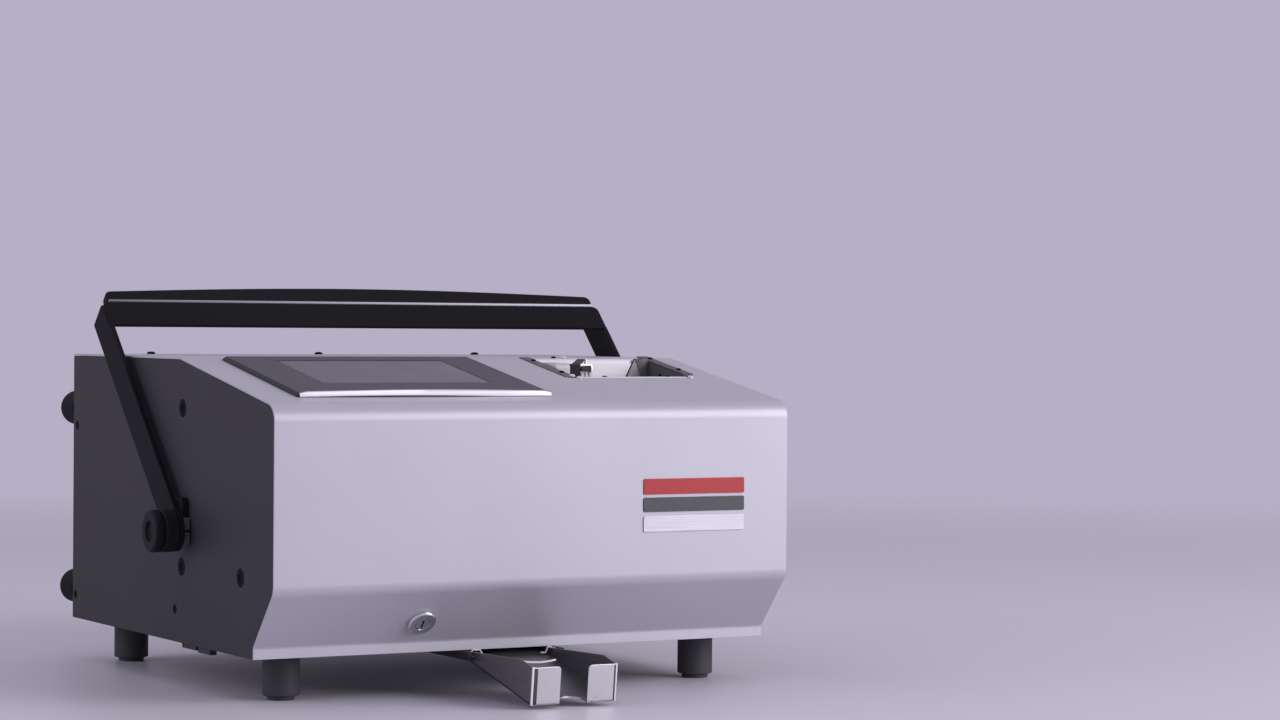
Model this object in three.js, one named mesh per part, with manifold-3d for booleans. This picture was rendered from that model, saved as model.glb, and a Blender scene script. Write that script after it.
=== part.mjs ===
// Counter-top embossing machine for metal identity tags, as an assembly of separate solids.
// Millimetres. X runs to the right, Y to the back, Z up from the table.
// Pieces are placed from the left side panel's outer face, the front plane and the table,
// and the whole group is then moved so that its origin lies under the middle of its box.
import * as THREE from "three";
import { mergeVertices } from "three/addons/utils/BufferGeometryUtils.js";
import Module from "manifold-3d";

const wasm = await Module();
wasm.setup();

// Driving sizes of the casing
const bodyWidth = 470;
const bodyDepth = 451;
const bodyTop = 273;
const footHeight = 37.2;
const slopeBack = 197.3;
const slopeFoot = 238.2;
const chamferTop = 92.2;
const lipDepth = 39.1;
const lipTop = 46.1;
const topBend = 15;
const frontBend = 15;
const lipBend = 4;
const skin = 1.5;
const panelThickness = 10;
const baseSheet = 3;
const rearSheet = 2;

// Fits shared by the whole machine
const clearance = 0.3;
const overrun = 5;
const bendSteps = 6;
const roundSteps = 32;
const smallSteps = 16;

// Casing angles that follow from the sizes
const slopeAngle = Math.atan2(bodyTop - slopeFoot, slopeBack);
const chamferAngle = Math.atan2(lipDepth, chamferTop - lipTop);
const innerLeft = panelThickness;
const innerRight = bodyWidth - panelThickness;

// Materials
const paints = {
  silver: new THREE.MeshStandardMaterial({ color: 0xb9b6c0, roughness: 0.5, metalness: 0.35 }),
  darkGrey: new THREE.MeshStandardMaterial({ color: 0x3b3a41, roughness: 0.6, metalness: 0.2 }),
  black: new THREE.MeshStandardMaterial({ color: 0x1f1e20, roughness: 0.5, metalness: 0.2 }),
  rubber: new THREE.MeshStandardMaterial({ color: 0x2b2a2d, roughness: 0.75, metalness: 0 }),
  bezel: new THREE.MeshStandardMaterial({ color: 0x55535e, roughness: 0.4, metalness: 0.3 }),
  glass: new THREE.MeshStandardMaterial({ color: 0x2a2930, roughness: 0.15, metalness: 0 }),
  chrome: new THREE.MeshStandardMaterial({ color: 0xd8d8dc, roughness: 0.12, metalness: 1 }),
  stainless: new THREE.MeshStandardMaterial({ color: 0xb5b4b8, roughness: 0.28, metalness: 1 }),
  aluminium: new THREE.MeshStandardMaterial({ color: 0xc2c2c6, roughness: 0.4, metalness: 0.9 }),
  steel: new THREE.MeshStandardMaterial({ color: 0x9a9aa0, roughness: 0.35, metalness: 1 }),
  plastic: new THREE.MeshStandardMaterial({ color: 0x1b1b1d, roughness: 0.55, metalness: 0 }),
  board: new THREE.MeshStandardMaterial({ color: 0x1f5a35, roughness: 0.5, metalness: 0 }),
};

// Solids and booleans
function solid(geometry) {
  const bare = geometry.clone();
  bare.deleteAttribute("normal");
  bare.deleteAttribute("uv");
  const merged = mergeVertices(bare, 1e-4);
  return new wasm.Manifold(
    new wasm.Mesh({
      numProp: 3,
      vertProperties: merged.attributes.position.array,
      triVerts: new Uint32Array(merged.index.array),
    }),
  );
}

function surfaceOf(body) {
  const mesh = body.getMesh();
  const geometry = new THREE.BufferGeometry();
  geometry.setAttribute("position", new THREE.BufferAttribute(mesh.vertProperties, 3));
  geometry.setIndex(new THREE.BufferAttribute(mesh.triVerts, 1));
  geometry.computeVertexNormals();
  return geometry;
}

function join(first, ...others) {
  return others.reduce((body, other) => body.add(other), first);
}

function cut(first, ...others) {
  return others.reduce((body, other) => body.subtract(other), first);
}

// A body under a matrix; a mirroring matrix turns every face round, so each is turned back
function moved(body, matrix) {
  const geometry = surfaceOf(body).applyMatrix4(matrix);
  if (matrix.determinant() < 0) {
    const order = geometry.index.array;
    for (let i = 0; i < order.length; i += 3) [order[i], order[i + 1]] = [order[i + 1], order[i]];
  }
  return solid(geometry);
}

function shifted(body, [x, y, z]) {
  return moved(body, new THREE.Matrix4().makeTranslation(x, y, z));
}

function spun(body, axis, degrees) {
  const turn = THREE.MathUtils.degToRad(degrees);
  return moved(body, new THREE.Matrix4().makeRotationAxis(new THREE.Vector3(...axis), turn));
}

// A body mirrored about the upright plane at a distance from the left panel
function reflected(body, middle) {
  return moved(body, new THREE.Matrix4().makeTranslation(2 * middle, 0, 0)
    .multiply(new THREE.Matrix4().makeScale(-1, 1, 1)));
}

const alongX = [1, 0, 0];
const alongY = [0, 1, 0];
const alongZ = [0, 0, 1];

// A block between two corners
function block([x0, x1], [y0, y1], [z0, z1]) {
  const geometry = new THREE.BoxGeometry(x1 - x0, y1 - y0, z1 - z0);
  return solid(geometry.translate((x0 + x1) / 2, (y0 + y1) / 2, (z0 + z1) / 2));
}

// The axis permutations that turn an extrusion along Z into one along X or Y
const towards = {
  x: new THREE.Matrix4().makeBasis(
    new THREE.Vector3(0, 1, 0), new THREE.Vector3(0, 0, 1), new THREE.Vector3(1, 0, 0)),
  y: new THREE.Matrix4().makeBasis(
    new THREE.Vector3(0, 0, 1), new THREE.Vector3(1, 0, 0), new THREE.Vector3(0, 1, 0)),
  z: new THREE.Matrix4(),
};

// An outline of [first, second] points pushed along an axis, where the points are
// (y, z) for x, (z, x) for y and (x, y) for z
function prism(axis, outline, [from, to]) {
  const shape = new THREE.Shape(outline.map(([u, v]) => new THREE.Vector2(u, v)));
  const geometry = new THREE.ExtrudeGeometry(shape, { depth: to - from, bevelEnabled: false });
  return solid(geometry.translate(0, 0, from).applyMatrix4(towards[axis]));
}

// A round bar along an axis through a point
function bar(axis, radius, [x, y, z], [from, to], steps = smallSteps) {
  const ring = Array.from({ length: steps }, (_, i) => {
    const turn = (2 * Math.PI * i) / steps;
    return [radius * Math.cos(turn), radius * Math.sin(turn)];
  });
  const centre = { x: [0, y, z], y: [x, 0, z], z: [x, y, 0] }[axis];
  return shifted(prism(axis, ring, [from, to]), centre);
}

// A turned piece: [radius, height] points from the axis out and back, with its axis on Z
function turned(profile, steps = roundSteps) {
  const points = profile.map(([radius, height]) => new THREE.Vector2(radius, height));
  const geometry = new THREE.LatheGeometry(points, steps);
  return solid(geometry.rotateX(Math.PI / 2));
}

// Corners [u, v, radius] turned into an outline whose corners are arcs
function rounded(corners, steps = bendSteps) {
  return corners.flatMap(([u, v, radius = 0], i) => {
    if (radius <= 0) return [[u, v]];
    const corner = new THREE.Vector2(u, v);
    const [before, after] = [corners.at(i - 1), corners[(i + 1) % corners.length]].map(
      ([a, b]) => new THREE.Vector2(a, b).sub(corner).normalize(),
    );
    const half = Math.acos(THREE.MathUtils.clamp(before.dot(after), -1, 1)) / 2;
    const middle = before.clone().add(after).normalize();
    const centre = corner.clone().addScaledVector(middle, radius / Math.sin(half));
    const reach = radius / Math.tan(half);
    const start = corner.clone().addScaledVector(before, reach).sub(centre);
    const end = corner.clone().addScaledVector(after, reach).sub(centre);
    const sweep = Math.atan2(start.cross(end), start.dot(end));
    return Array.from({ length: steps + 1 }, (_, step) => {
      const point = start.clone().rotateAround(new THREE.Vector2(), (sweep * step) / steps);
      return [centre.x + point.x, centre.y + point.y];
    });
  });
}

// A rectangle with round corners
function roundedBox([u0, u1], [v0, v1], radius, steps = bendSteps) {
  return rounded([[u0, v0, radius], [u1, v0, radius], [u1, v1, radius], [u0, v1, radius]], steps);
}

// The outline moved inwards, each edge by its own distance; edge i runs from corner i to the next.
// A bend keeps its centre, so its radius shrinks with the edges beside it.
function inset(corners, distances) {
  const edges = corners.map(([u, v], i) => {
    const [nextU, nextV] = corners[(i + 1) % corners.length];
    const along = new THREE.Vector2(nextU - u, nextV - v).normalize();
    const inwards = new THREE.Vector2(-along.y, along.x);
    return { start: new THREE.Vector2(u, v).addScaledVector(inwards, distances[i]), along };
  });
  return corners.map(([, , radius = 0], i) => {
    const before = edges.at(i - 1);
    const after = edges[i];
    const gap = after.start.clone().sub(before.start);
    const travel = gap.cross(after.along) / before.along.cross(after.along);
    const point = before.start.clone().addScaledVector(before.along, travel);
    return [point.x, point.y, Math.max(0, radius - distances[i])];
  });
}

// The finished assembly, and the turned frames that some pieces are built in
const machine = new THREE.Group();
const slopeFrame = new THREE.Group();
slopeFrame.position.set(0, 0, slopeFoot);
slopeFrame.rotation.x = slopeAngle;
const chamferFrame = new THREE.Group();
chamferFrame.position.set(0, 0, chamferTop);
chamferFrame.rotation.x = chamferAngle;
machine.add(slopeFrame, chamferFrame);

function piece(name, body, material, frame = machine) {
  const mesh = new THREE.Mesh(surfaceOf(body), material);
  mesh.name = name;
  frame.add(mesh);
  return mesh;
}

// A body built in a turned frame, brought into the machine's own frame
function placed(body, frame) {
  frame.updateMatrix();
  return moved(body, frame.matrix);
}

// A body mirrored to the machine's other side
function mirrored(body) {
  return reflected(body, bodyWidth / 2);
}

// Casing outline, seen from the right: rear top, then forwards and down to the rear bottom.
// It runs the way that keeps the inside on its left.
const casing = [
  [bodyDepth, bodyTop, 0],
  [slopeBack, bodyTop, 0],
  [0, slopeFoot, topBend],
  [0, chamferTop, frontBend],
  [lipDepth, lipTop, lipBend],
  [lipDepth, footHeight, 0],
  [bodyDepth, footHeight, 0],
];

function casingInset(skinned, bottom, rear) {
  return inset(casing, [skinned, skinned, skinned, skinned, skinned, bottom, rear]);
}

// Side panels: thick aluminium plates with counterbored screw holes
const largeScrew = { head: 7.5, headDepth: 8.6, hole: 4.5 };
const smallScrew = { head: 4, headDepth: 4.6, hole: 2.25 };
const tieBarRadius = 10;
const rearBarShare = 0.4244;
const tieBars = {
  top_tie_bar: [190.7, 231.2],
  rear_tie_bar: [bodyDepth * rearBarShare, 100.2],
  front_tie_bar: [66.3, 99.9],
};
const smallScrewInset = { upper: 9.4, lower: 7.3 };
const smallScrews = [
  [bodyDepth - smallScrewInset.upper, 209.2], [bodyDepth - smallScrewInset.lower, 58.2], [205.5, 64],
];
const pivot = { y: 184.8, z: 130.7 };
const pivotStud = {
  spigot: 6, short: 0.5, thread: 5, beyond: 10.6, depth: 27, height: 22.4, corner: 1.5, length: 6,
};

function screwHole({ head, headDepth, hole }, [y, z]) {
  return join(
    bar("x", head, [0, y, z], [-overrun, headDepth]),
    bar("x", hole, [0, y, z], [0, panelThickness + overrun]),
  );
}

function sidePanel() {
  return cut(
    prism("x", rounded(casingInset(skin + clearance, 0, 0)), [0, panelThickness]),
    ...Object.values(tieBars).map((place) => screwHole(largeScrew, place)),
    ...smallScrews.map((place) => screwHole(smallScrew, place)),
    bar("x", pivotStud.spigot + clearance, [0, pivot.y, pivot.z],
      [-overrun, panelThickness + overrun]),
  );
}

piece("left_side_panel", sidePanel(), paints.darkGrey);
piece("right_side_panel", mirrored(sidePanel()), paints.darkGrey);

// Tie bars between the side panels, held by the large screws
for (const [name, [y, z]] of Object.entries(tieBars)) {
  piece(name, bar("x", tieBarRadius, [0, y, z], [innerLeft, innerRight], roundSteps), paints.steel);
}

// Hood: one folded sheet over the top, slope, front, chamfer and lip
const bezel = { width: 228, s: [33, 190.5], height: 3.5, bevel: 2.5, corner: 2 };
const mouth = { width: 121, s: [111, 197], corner: 4 };
const marginShares = { left: 0.2727, right: 0.2562 };
const spareWidth = bodyWidth - bezel.width - mouth.width;
const bezelLeft = spareWidth * marginShares.left;
const bezelX = [bezelLeft, bezelLeft + bezel.width];
const mouthRight = bodyWidth - spareWidth * marginShares.right;
const bezelLap = { side: 12, front: 17, rear: 14 };
const displayHole = {
  x: [bezelX[0] + bezelLap.side, bezelX[1] - bezelLap.side],
  s: [bezel.s[0] + bezelLap.front, bezel.s[1] - bezelLap.rear],
  corner: 3,
};
const hopperMouth = { x: [mouthRight - mouth.width, mouthRight], s: mouth.s, corner: mouth.corner };
const hopperFlange = { inset: 12, depth: 20 };
const lockPlace = { x: 139.4, down: 37.8 };
const lock = { flange: 12, flangeHeight: 3, barrel: 9, core: 6, depth: 24 };

function hoodSheet() {
  const outer = prism("x", rounded(casing), [0, bodyWidth]);
  const inner = prism("x", rounded(casingInset(skin, -overrun, -overrun)),
    [-overrun, bodyWidth + overrun]);
  return cut(outer, inner);
}

function slopeCutter({ x, s, corner }) {
  return placed(prism("z", roundedBox(x, s, corner), [-skin - overrun, overrun]), slopeFrame);
}

// The hopper mouth's rear edge is folded down, clear of the mouth's ends
function mouthFlange() {
  const { x, s } = hopperMouth;
  return placed(
    block([x[0] + hopperFlange.inset, x[1] - hopperFlange.inset], [s[1] - skin / 2, s[1] + skin / 2],
      [-hopperFlange.depth, -skin / 2]),
    slopeFrame,
  );
}

function lockHole() {
  const { x, down } = lockPlace;
  return placed(
    bar("y", lock.barrel + clearance, [x, 0, -down], [-overrun, skin + overrun]), chamferFrame);
}

piece(
  "hood_shell",
  join(cut(hoodSheet(), slopeCutter(displayHole), slopeCutter(hopperMouth), lockHole()),
    mouthFlange()),
  paints.silver,
);

// Strip under the hood's rear edge, which takes its three button-head screws
const rearStrip = { end: 2, front: 17, rear: 2, thickness: 3 };
const stripBottom = bodyTop - skin - rearStrip.thickness;

piece(
  "hood_rear_strip",
  block([innerLeft + rearStrip.end, innerRight - rearStrip.end],
    [bodyDepth - rearStrip.front, bodyDepth - rearStrip.rear], [stripBottom, bodyTop - skin]),
  paints.steel,
);

// Rear panel, with side flanges for the small screws and a top flange that the hood rests over
const rearFlange = 18;
const fan = { inset: 100, z: 150, size: 80, depth: 25, wall: 2, hub: 16, spoke: 5 };
const fanX = bodyWidth - fan.inset;
const fanBore = fan.size / 2 - fan.wall;
const inlet = { x: 110, z: 90, body: [27, 47], lap: 2, flangeHeight: 2.5, depth: 30 };
const rearInner = bodyDepth - rearSheet;
const baseTop = footHeight + baseSheet;
const sideGap = [innerLeft + clearance, innerRight - clearance];

function span(centre, size) {
  return [centre - size / 2, centre + size / 2];
}

function rearPanelSheet() {
  const y = [bodyDepth - rearFlange, bodyDepth];
  const z = [baseTop + clearance, stripBottom - clearance];
  const [inletWidth, inletHeight] = inlet.body;
  return cut(
    join(
      block(sideGap, [rearInner, bodyDepth], z),
      block(sideGap, y, [z[1] - rearSheet, z[1]]),
      block([sideGap[0], sideGap[0] + rearSheet], y, z),
      block([sideGap[1] - rearSheet, sideGap[1]], y, z),
    ),
    bar("y", fanBore, [fanX, 0, fan.z], [rearInner - overrun, bodyDepth + overrun], roundSteps),
    block(span(inlet.x, inletWidth + 2 * clearance), [rearInner - overrun, bodyDepth + overrun],
      span(inlet.z, inletHeight + 2 * clearance)),
  );
}

piece("rear_panel", rearPanelSheet(), paints.darkGrey);

// Cooling fan: a frame behind the rear panel, and its rotor
const rotor = { blades: 7, tipGap: 1.5, depth: 14, bladeWidth: 11, bladeSheet: 2, pitch: 35 };
const rotorFront = rearInner - fan.spoke - clearance - rotor.depth;

function fanFrame() {
  const y = [rearInner - fan.depth, rearInner];
  const casingBlock = block(span(fanX, fan.size), y, span(fan.z, fan.size));
  const hollow = bar("y", fanBore, [fanX, 0, fan.z], [y[0] - overrun, y[1] + overrun], roundSteps);
  const mount = bar("y", fan.hub, [fanX, 0, fan.z], [y[1] - fan.spoke, y[1]], roundSteps);
  const spokes = [
    block(span(fanX, 2 * fanBore + overrun), [y[1] - fan.spoke, y[1]], span(fan.z, fan.spoke)),
    block(span(fanX, fan.spoke), [y[1] - fan.spoke, y[1]], span(fan.z, 2 * fanBore + overrun)),
  ];
  return join(cut(casingBlock, hollow), mount, ...spokes);
}

function fanRotor() {
  const middle = rotorFront + rotor.depth / 2;
  const hub = bar("y", fan.hub, [0, 0, 0], [-rotor.depth / 2, rotor.depth / 2], smallSteps);
  const flat = block([fan.hub - rotor.bladeSheet, fanBore - rotor.tipGap], span(0, rotor.bladeWidth),
    span(0, rotor.bladeSheet));
  const blade = spun(flat, alongX, rotor.pitch);
  const blades = Array.from({ length: rotor.blades }, (_, i) =>
    spun(blade, alongY, (360 * i) / rotor.blades));
  return shifted(join(hub, ...blades), [fanX, middle, fan.z]);
}

piece("fan_frame", fanFrame(), paints.plastic);
piece("fan_rotor", fanRotor(), paints.plastic);

// Mains inlet with its switch pocket, and the rocker
const socket = { size: [24, 16.5], drop: 11, depth: 18 };
const rocker = { rise: 12.5, width: 19.4, radius: 6.6, proud: 3, lean: 9 };
const pocket = { margin: 0.7, depth: 14 };

function inletModule() {
  const [width, height] = inlet.body;
  const [flangeWidth, flangeHeight] = inlet.body.map((side) => side + 2 * inlet.lap);
  const face = bodyDepth + inlet.flangeHeight;
  return cut(
    join(
      block(span(inlet.x, width), [bodyDepth - inlet.depth, face], span(inlet.z, height)),
      block(span(inlet.x, flangeWidth), [bodyDepth, face], span(inlet.z, flangeHeight)),
    ),
    block(span(inlet.x, socket.size[0]), [face - socket.depth, face + overrun],
      span(inlet.z - socket.drop, socket.size[1])),
    block(span(inlet.x, rocker.width + 2 * pocket.margin), [face - pocket.depth, face + overrun],
      span(inlet.z + rocker.rise, 2 * (rocker.radius + pocket.margin))),
  );
}

// The rocker is round behind its pivot and has two flat faces that meet in a shallow valley
function powerSwitch() {
  const { radius, proud, lean } = rocker;
  const steps = smallSteps / 2;
  const back = Array.from({ length: steps + 1 }, (_, i) => {
    const turn = Math.PI + (Math.PI * i) / steps - Math.PI / 2;
    return [radius * Math.cos(turn), radius * Math.sin(turn)];
  });
  const valley = proud - radius * Math.tan(THREE.MathUtils.degToRad(lean));
  const face = [[proud, -radius], [valley, 0], [proud, radius]];
  const outline = [...back, ...face];
  const y = bodyDepth + inlet.flangeHeight - rocker.proud / 2;
  const body = spun(prism("x", outline, span(0, rocker.width)), alongX, rocker.lean);
  return shifted(body, [inlet.x, y, inlet.z + rocker.rise]);
}

piece("power_inlet", inletModule(), paints.plastic);
piece("power_switch", powerSwitch(), paints.plastic);

// Output tray: a folded stainless scoop that slides out from under the lip
const tray = {
  beforeMouth: 92.3, width: 76, reach: 76, fold: 56, rear: 90, sheet: 1.5,
  floorFront: 3.5, floorDrop: 1.8, topGap: 1.4, breakReach: 55, breakTop: 38.6, frontTop: 33.6,
  plate: 25.7, plateCorner: 3, scoop: 13, flange: 3, flangeDrop: 3.5, flangeFront: 26,
};
const trayFront = -tray.reach;
const trayMiddle = hopperMouth.x[0] - tray.beforeMouth;
const trayX = span(trayMiddle, tray.width);
const trayTop = footHeight - tray.topGap;
const trayFloorRear = trayTop - tray.floorDrop;

// The underside of the tray's floor: a ramp up to the fold, and level behind it
const trayUnderside = [
  [trayFront, tray.floorFront], [tray.fold, trayFloorRear], [tray.rear, trayFloorRear],
];

function outputTray() {
  const { rear, sheet } = tray;
  const front = trayFront;
  const upperside = trayUnderside.map(([y, z]) => [y, z + sheet]).reverse();
  const floor = prism("x", [...trayUnderside, ...upperside], trayX);
  const wall = (x) => prism("x", [
    ...trayUnderside, [rear, trayTop], [tray.fold, trayTop],
    [-tray.breakReach, tray.breakTop], [front, tray.frontTop],
  ], x);
  const walls = [[trayX[0], trayX[0] + sheet], [trayX[1] - sheet, trayX[1]]].map(wall);
  const plate = (x, corner) => prism("y", rounded([
    [tray.floorFront, x[0], 0], [tray.frontTop, x[0], corner[0]],
    [tray.frontTop, x[1], corner[1]], [tray.floorFront, x[1], 0],
  ]).reverse(), [front, front + sheet]);
  const plates = [
    plate([trayX[0], trayX[0] + tray.plate], [0, tray.plateCorner]),
    plate([trayX[1] - tray.plate, trayX[1]], [tray.plateCorner, 0]),
  ];
  const flangeTop = trayTop - tray.flangeDrop + sheet;
  const flanges = [
    [trayX[0] - tray.flange, trayX[0] + sheet / 2],
    [trayX[1] - sheet / 2, trayX[1] + tray.flange],
  ].map((x) => block(x, [tray.flangeFront, rear], [flangeTop - sheet, flangeTop]));
  const scoop = bar("z", tray.scoop, [trayMiddle, front, 0], [-overrun, trayTop], smallSteps);
  return cut(join(floor, ...walls, ...plates, ...flanges), cut(scoop, frontPlateZone()));
}

// The scoop only bites the floor, between the two front plates
function frontPlateZone() {
  const between = tray.width / 2 - tray.plate;
  return join(...[[trayX[0], trayMiddle - between], [trayMiddle + between, trayX[1]]].map((x) =>
    block(x, [trayFront - tray.scoop - overrun, trayFront + tray.scoop + overrun],
      [-2 * overrun, trayTop + overrun])));
}

piece("output_tray", outputTray(), paints.stainless);

// Base plate, with the drop slot for finished tags and the two rails that carry the tray
const dropSlot = { width: 54, y: [46, 82] };
const rail = { web: 2.5, foot: 2, front: 24, rear: 100 };
const baseFront = lipDepth + skin + clearance;

function trayRail() {
  const outer = trayX[0] - tray.flange - clearance - rail.web;
  const footTop = trayTop - tray.flangeDrop - clearance;
  const z = [footTop - rail.foot, footTop];
  const nose = footHeight - clearance;
  return join(
    block([outer, outer + rail.web], [rail.front, rail.rear], [z[0], nose]),
    block([outer, trayX[0] - clearance], [rail.front, rail.rear], z),
    block([outer, outer + rail.web], [baseFront, rail.rear], [z[0], baseTop]),
  );
}

function basePlate() {
  const plate = block(sideGap, [baseFront, bodyDepth], [footHeight, baseTop]);
  const slot = block(span(trayMiddle, dropSlot.width), dropSlot.y,
    [footHeight - overrun, baseTop + overrun]);
  const left = trayRail();
  return join(cut(plate, slot), left, reflected(left, trayMiddle));
}

piece("base_plate", basePlate(), paints.darkGrey);

// Feet under the base, and the four that guard the rear
const foot = { radius: 15, neck: 11.25, neckHeight: 3.5, bevel: 3.5, inset: 41.7, front: 80.3, rear: 37.2 };
const backFoot = { radius: 14.5, length: 37, inset: 15, rows: [63, 224], nose: 4, bevel: 3 };

function rubberFoot(x, y) {
  const { radius, neck, neckHeight, bevel } = foot;
  const body = turned([
    [0, 0], [neck, 0], [neck, neckHeight], [radius, neckHeight],
    [radius, footHeight - bevel], [radius - bevel, footHeight], [0, footHeight],
  ]);
  return shifted(body, [x, y, 0]);
}

function rearFoot(x, z) {
  const { radius, length, nose, bevel } = backFoot;
  const body = turned([
    [0, 0], [radius - bevel, 0], [radius, bevel],
    [radius, length - nose], [radius - nose, length], [0, length],
  ]);
  return shifted(spun(body, alongX, -90), [x, bodyDepth, z]);
}

for (const [side, x] of [["left", foot.inset], ["right", bodyWidth - foot.inset]]) {
  piece(`front_${side}_foot`, rubberFoot(x, foot.front), paints.rubber);
  piece(`rear_${side}_foot`, rubberFoot(x, bodyDepth - foot.rear), paints.rubber);
}
for (const [side, x] of [["left", backFoot.inset], ["right", bodyWidth - backFoot.inset]]) {
  piece(`lower_${side}_back_foot`, rearFoot(x, backFoot.rows[0]), paints.rubber);
  piece(`upper_${side}_back_foot`, rearFoot(x, backFoot.rows[1]), paints.rubber);
}

// Display: a bevelled bezel on the slope, with the touch screen let into it from behind
const screen = { inset: 41, width: 151, s: [75, 169.5], depth: 14 };
const screenX = [bezelX[0] + screen.inset, bezelX[0] + screen.inset + screen.width];
const screenMargin = { side: 7, front: 10, rear: 4 };

function bezelPlate() {
  const { s, height, bevel } = bezel;
  const x = bezelX;
  const face = ([from, to]) => [from + bevel, to - bevel];
  const outline = roundedBox(face(x), face(s), bezel.corner).map(([u, v]) => new THREE.Vector2(u, v));
  const plate = new THREE.ExtrudeGeometry(new THREE.Shape(outline), {
    depth: height, bevelThickness: bevel, bevelSize: bevel, bevelSegments: 1,
  });
  const under = [-overrun - height, clearance];
  const open = ([from, to]) => [from - clearance, to + clearance];
  return cut(
    solid(plate.translate(0, 0, -bevel)),
    block([x[0] - overrun, x[1] + overrun], [s[0] - overrun, s[1] + overrun], under),
    block(open(screenX), open(screen.s), [-overrun, height + overrun]),
  );
}

function screenModule() {
  const face = block(screenX, screen.s, [-skin - clearance, bezel.height - clearance]);
  const { side, front, rear } = screenMargin;
  const [x, s] = [displayHole.x, displayHole.s];
  return join(face, block([x[0] + side, x[1] - side], [s[0] + front, s[1] - rear],
    [-skin - screen.depth, -skin / 2 - clearance]));
}

piece("display_bezel", bezelPlate(), paints.bezel, slopeFrame);
piece("touch_screen", screenModule(), paints.glass, slopeFrame);

// Hopper trim: a brushed strip on the mouth's left edge and a cheek on its right edge
const strip = { width: 7.6, height: 3, proud: 0.5 };
const cheek = { thickness: 2.5, drop: 28 };
const mouthInside = {
  x: [hopperMouth.x[0] + clearance, hopperMouth.x[1] - clearance],
  s: [hopperMouth.s[0] + hopperMouth.corner, hopperMouth.s[1] - hopperMouth.corner],
};

piece(
  "hopper_strip",
  block([mouthInside.x[0], mouthInside.x[0] + strip.width], mouthInside.s,
    [strip.proud - strip.height, strip.proud]),
  paints.steel, slopeFrame,
);
piece(
  "hopper_cheek",
  block([mouthInside.x[1] - cheek.thickness, mouthInside.x[1]], mouthInside.s,
    [-cheek.drop, 0]),
  paints.darkGrey, slopeFrame,
);

// Key lock in the chamfer: flanged barrel, turning core with a keyway, and the cam behind it
const keyway = { width: 1.4, height: 8, depth: 7 };
const cam = { thickness: 2.5, width: 12, length: 26 };
const camFront = lock.depth + 2 * clearance;
const keeper = { width: 24, sheet: 2.5, gap: 3, below: 2.2, reach: 18 };

function lockBarrel() {
  const { flange, flangeHeight, barrel, core, depth } = lock;
  const { x, down } = lockPlace;
  return cut(
    join(
      bar("y", flange, [x, 0, -down], [-clearance - flangeHeight, -clearance], roundSteps),
      bar("y", barrel, [x, 0, -down], [-clearance - flangeHeight, depth], roundSteps),
    ),
    bar("y", core + clearance, [x, 0, -down], [-overrun - flangeHeight, depth + overrun]),
  );
}

function lockCore() {
  const { x, down } = lockPlace;
  const face = -clearance - lock.flangeHeight;
  return cut(
    bar("y", lock.core, [x, 0, -down], [face, lock.depth + clearance]),
    block(span(x, keyway.width), [face - overrun, face + keyway.depth], span(-down, keyway.height)),
  );
}

function lockCam() {
  const { x, down } = lockPlace;
  const radius = cam.width / 2;
  return prism("y", roundedBox(span(-down, cam.width), [x - cam.length, x + radius], radius),
    [camFront, camFront + cam.thickness]);
}

// The cam turns down behind a plate that stands on the base, so that the hood can't slide off
function lockKeeper() {
  const { x, down } = lockPlace;
  const across = span(x, keeper.width);
  const foot = [baseTop + clearance, baseTop + clearance + keeper.sheet];
  const [front, low] = [camFront - clearance, -down - cam.length - keeper.below];
  const legY = low * -Math.sin(chamferAngle) + front * Math.cos(chamferAngle);
  const legTop = chamferTop + low * Math.cos(chamferAngle) + front * Math.sin(chamferAngle);
  return join(
    placed(block(across, [front - keeper.sheet, front], [low, -down - lock.barrel - keeper.gap]),
      chamferFrame),
    block(across, [legY - keeper.sheet, legY], [foot[0], legTop]),
    block(across, [legY - keeper.sheet, legY + keeper.reach], foot),
  );
}

piece("lock_barrel", lockBarrel(), paints.chrome, chamferFrame);
piece("lock_core", lockCore(), paints.chrome, chamferFrame);
piece("lock_cam", lockCam(), paints.steel, chamferFrame);
piece("lock_keeper", lockKeeper(), paints.steel);

// Plain badge plate on the front, without any lettering
const badge = { inset: 43, width: 97, z: [132, 145], thickness: 1, corner: 1.5 };
const badgeX = [bodyWidth - badge.inset - badge.width, bodyWidth - badge.inset];
piece(
  "badge_plate",
  prism("y", roundedBox(badge.z, badgeX, badge.corner), [-badge.thickness, 0]),
  paints.aluminium,
);

// Handle pivots: studs on rectangular shoulder blocks, their anti-turn lugs and the clamp knobs
const lug = { front: 9.8, rear: 6.2, up: [14.3, 27.3], corner: 5 };
const arm = { thickness: 3.8, width: 29.5, length: 252.5, corner: 2 };
const threadHole = pivotStud.thread + clearance;
const armX = [-pivotStud.length - clearance - arm.thickness, -pivotStud.length - clearance];
const knob = {
  radius: 17.5, reach: 30.7, collar: 8.5, waist: 13, disc: 7, edge: 1.5, recess: 8, recessDepth: 2.5,
};

function handleStud() {
  const place = [0, pivot.y, pivot.z];
  const shoulder = roundedBox(
    span(pivot.y, pivotStud.depth), span(pivot.z, pivotStud.height), pivotStud.corner,
  );
  return join(
    prism("x", shoulder, [-pivotStud.length, 0]),
    bar("x", pivotStud.spigot, place, [-clearance, panelThickness - pivotStud.short]),
    bar("x", pivotStud.thread, place, [armX[0] - pivotStud.beyond, -clearance]),
  );
}

function studLug() {
  const y = [pivot.y - lug.front, pivot.y + lug.rear];
  const z = lug.up.map((offset) => pivot.z + offset);
  const outline = rounded([
    [y[0], z[0], 0], [y[1], z[0], 0], [y[1], z[1], lug.corner], [y[0], z[1], lug.corner],
  ]);
  return prism("x", outline, [-pivotStud.length, 0]);
}

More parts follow.
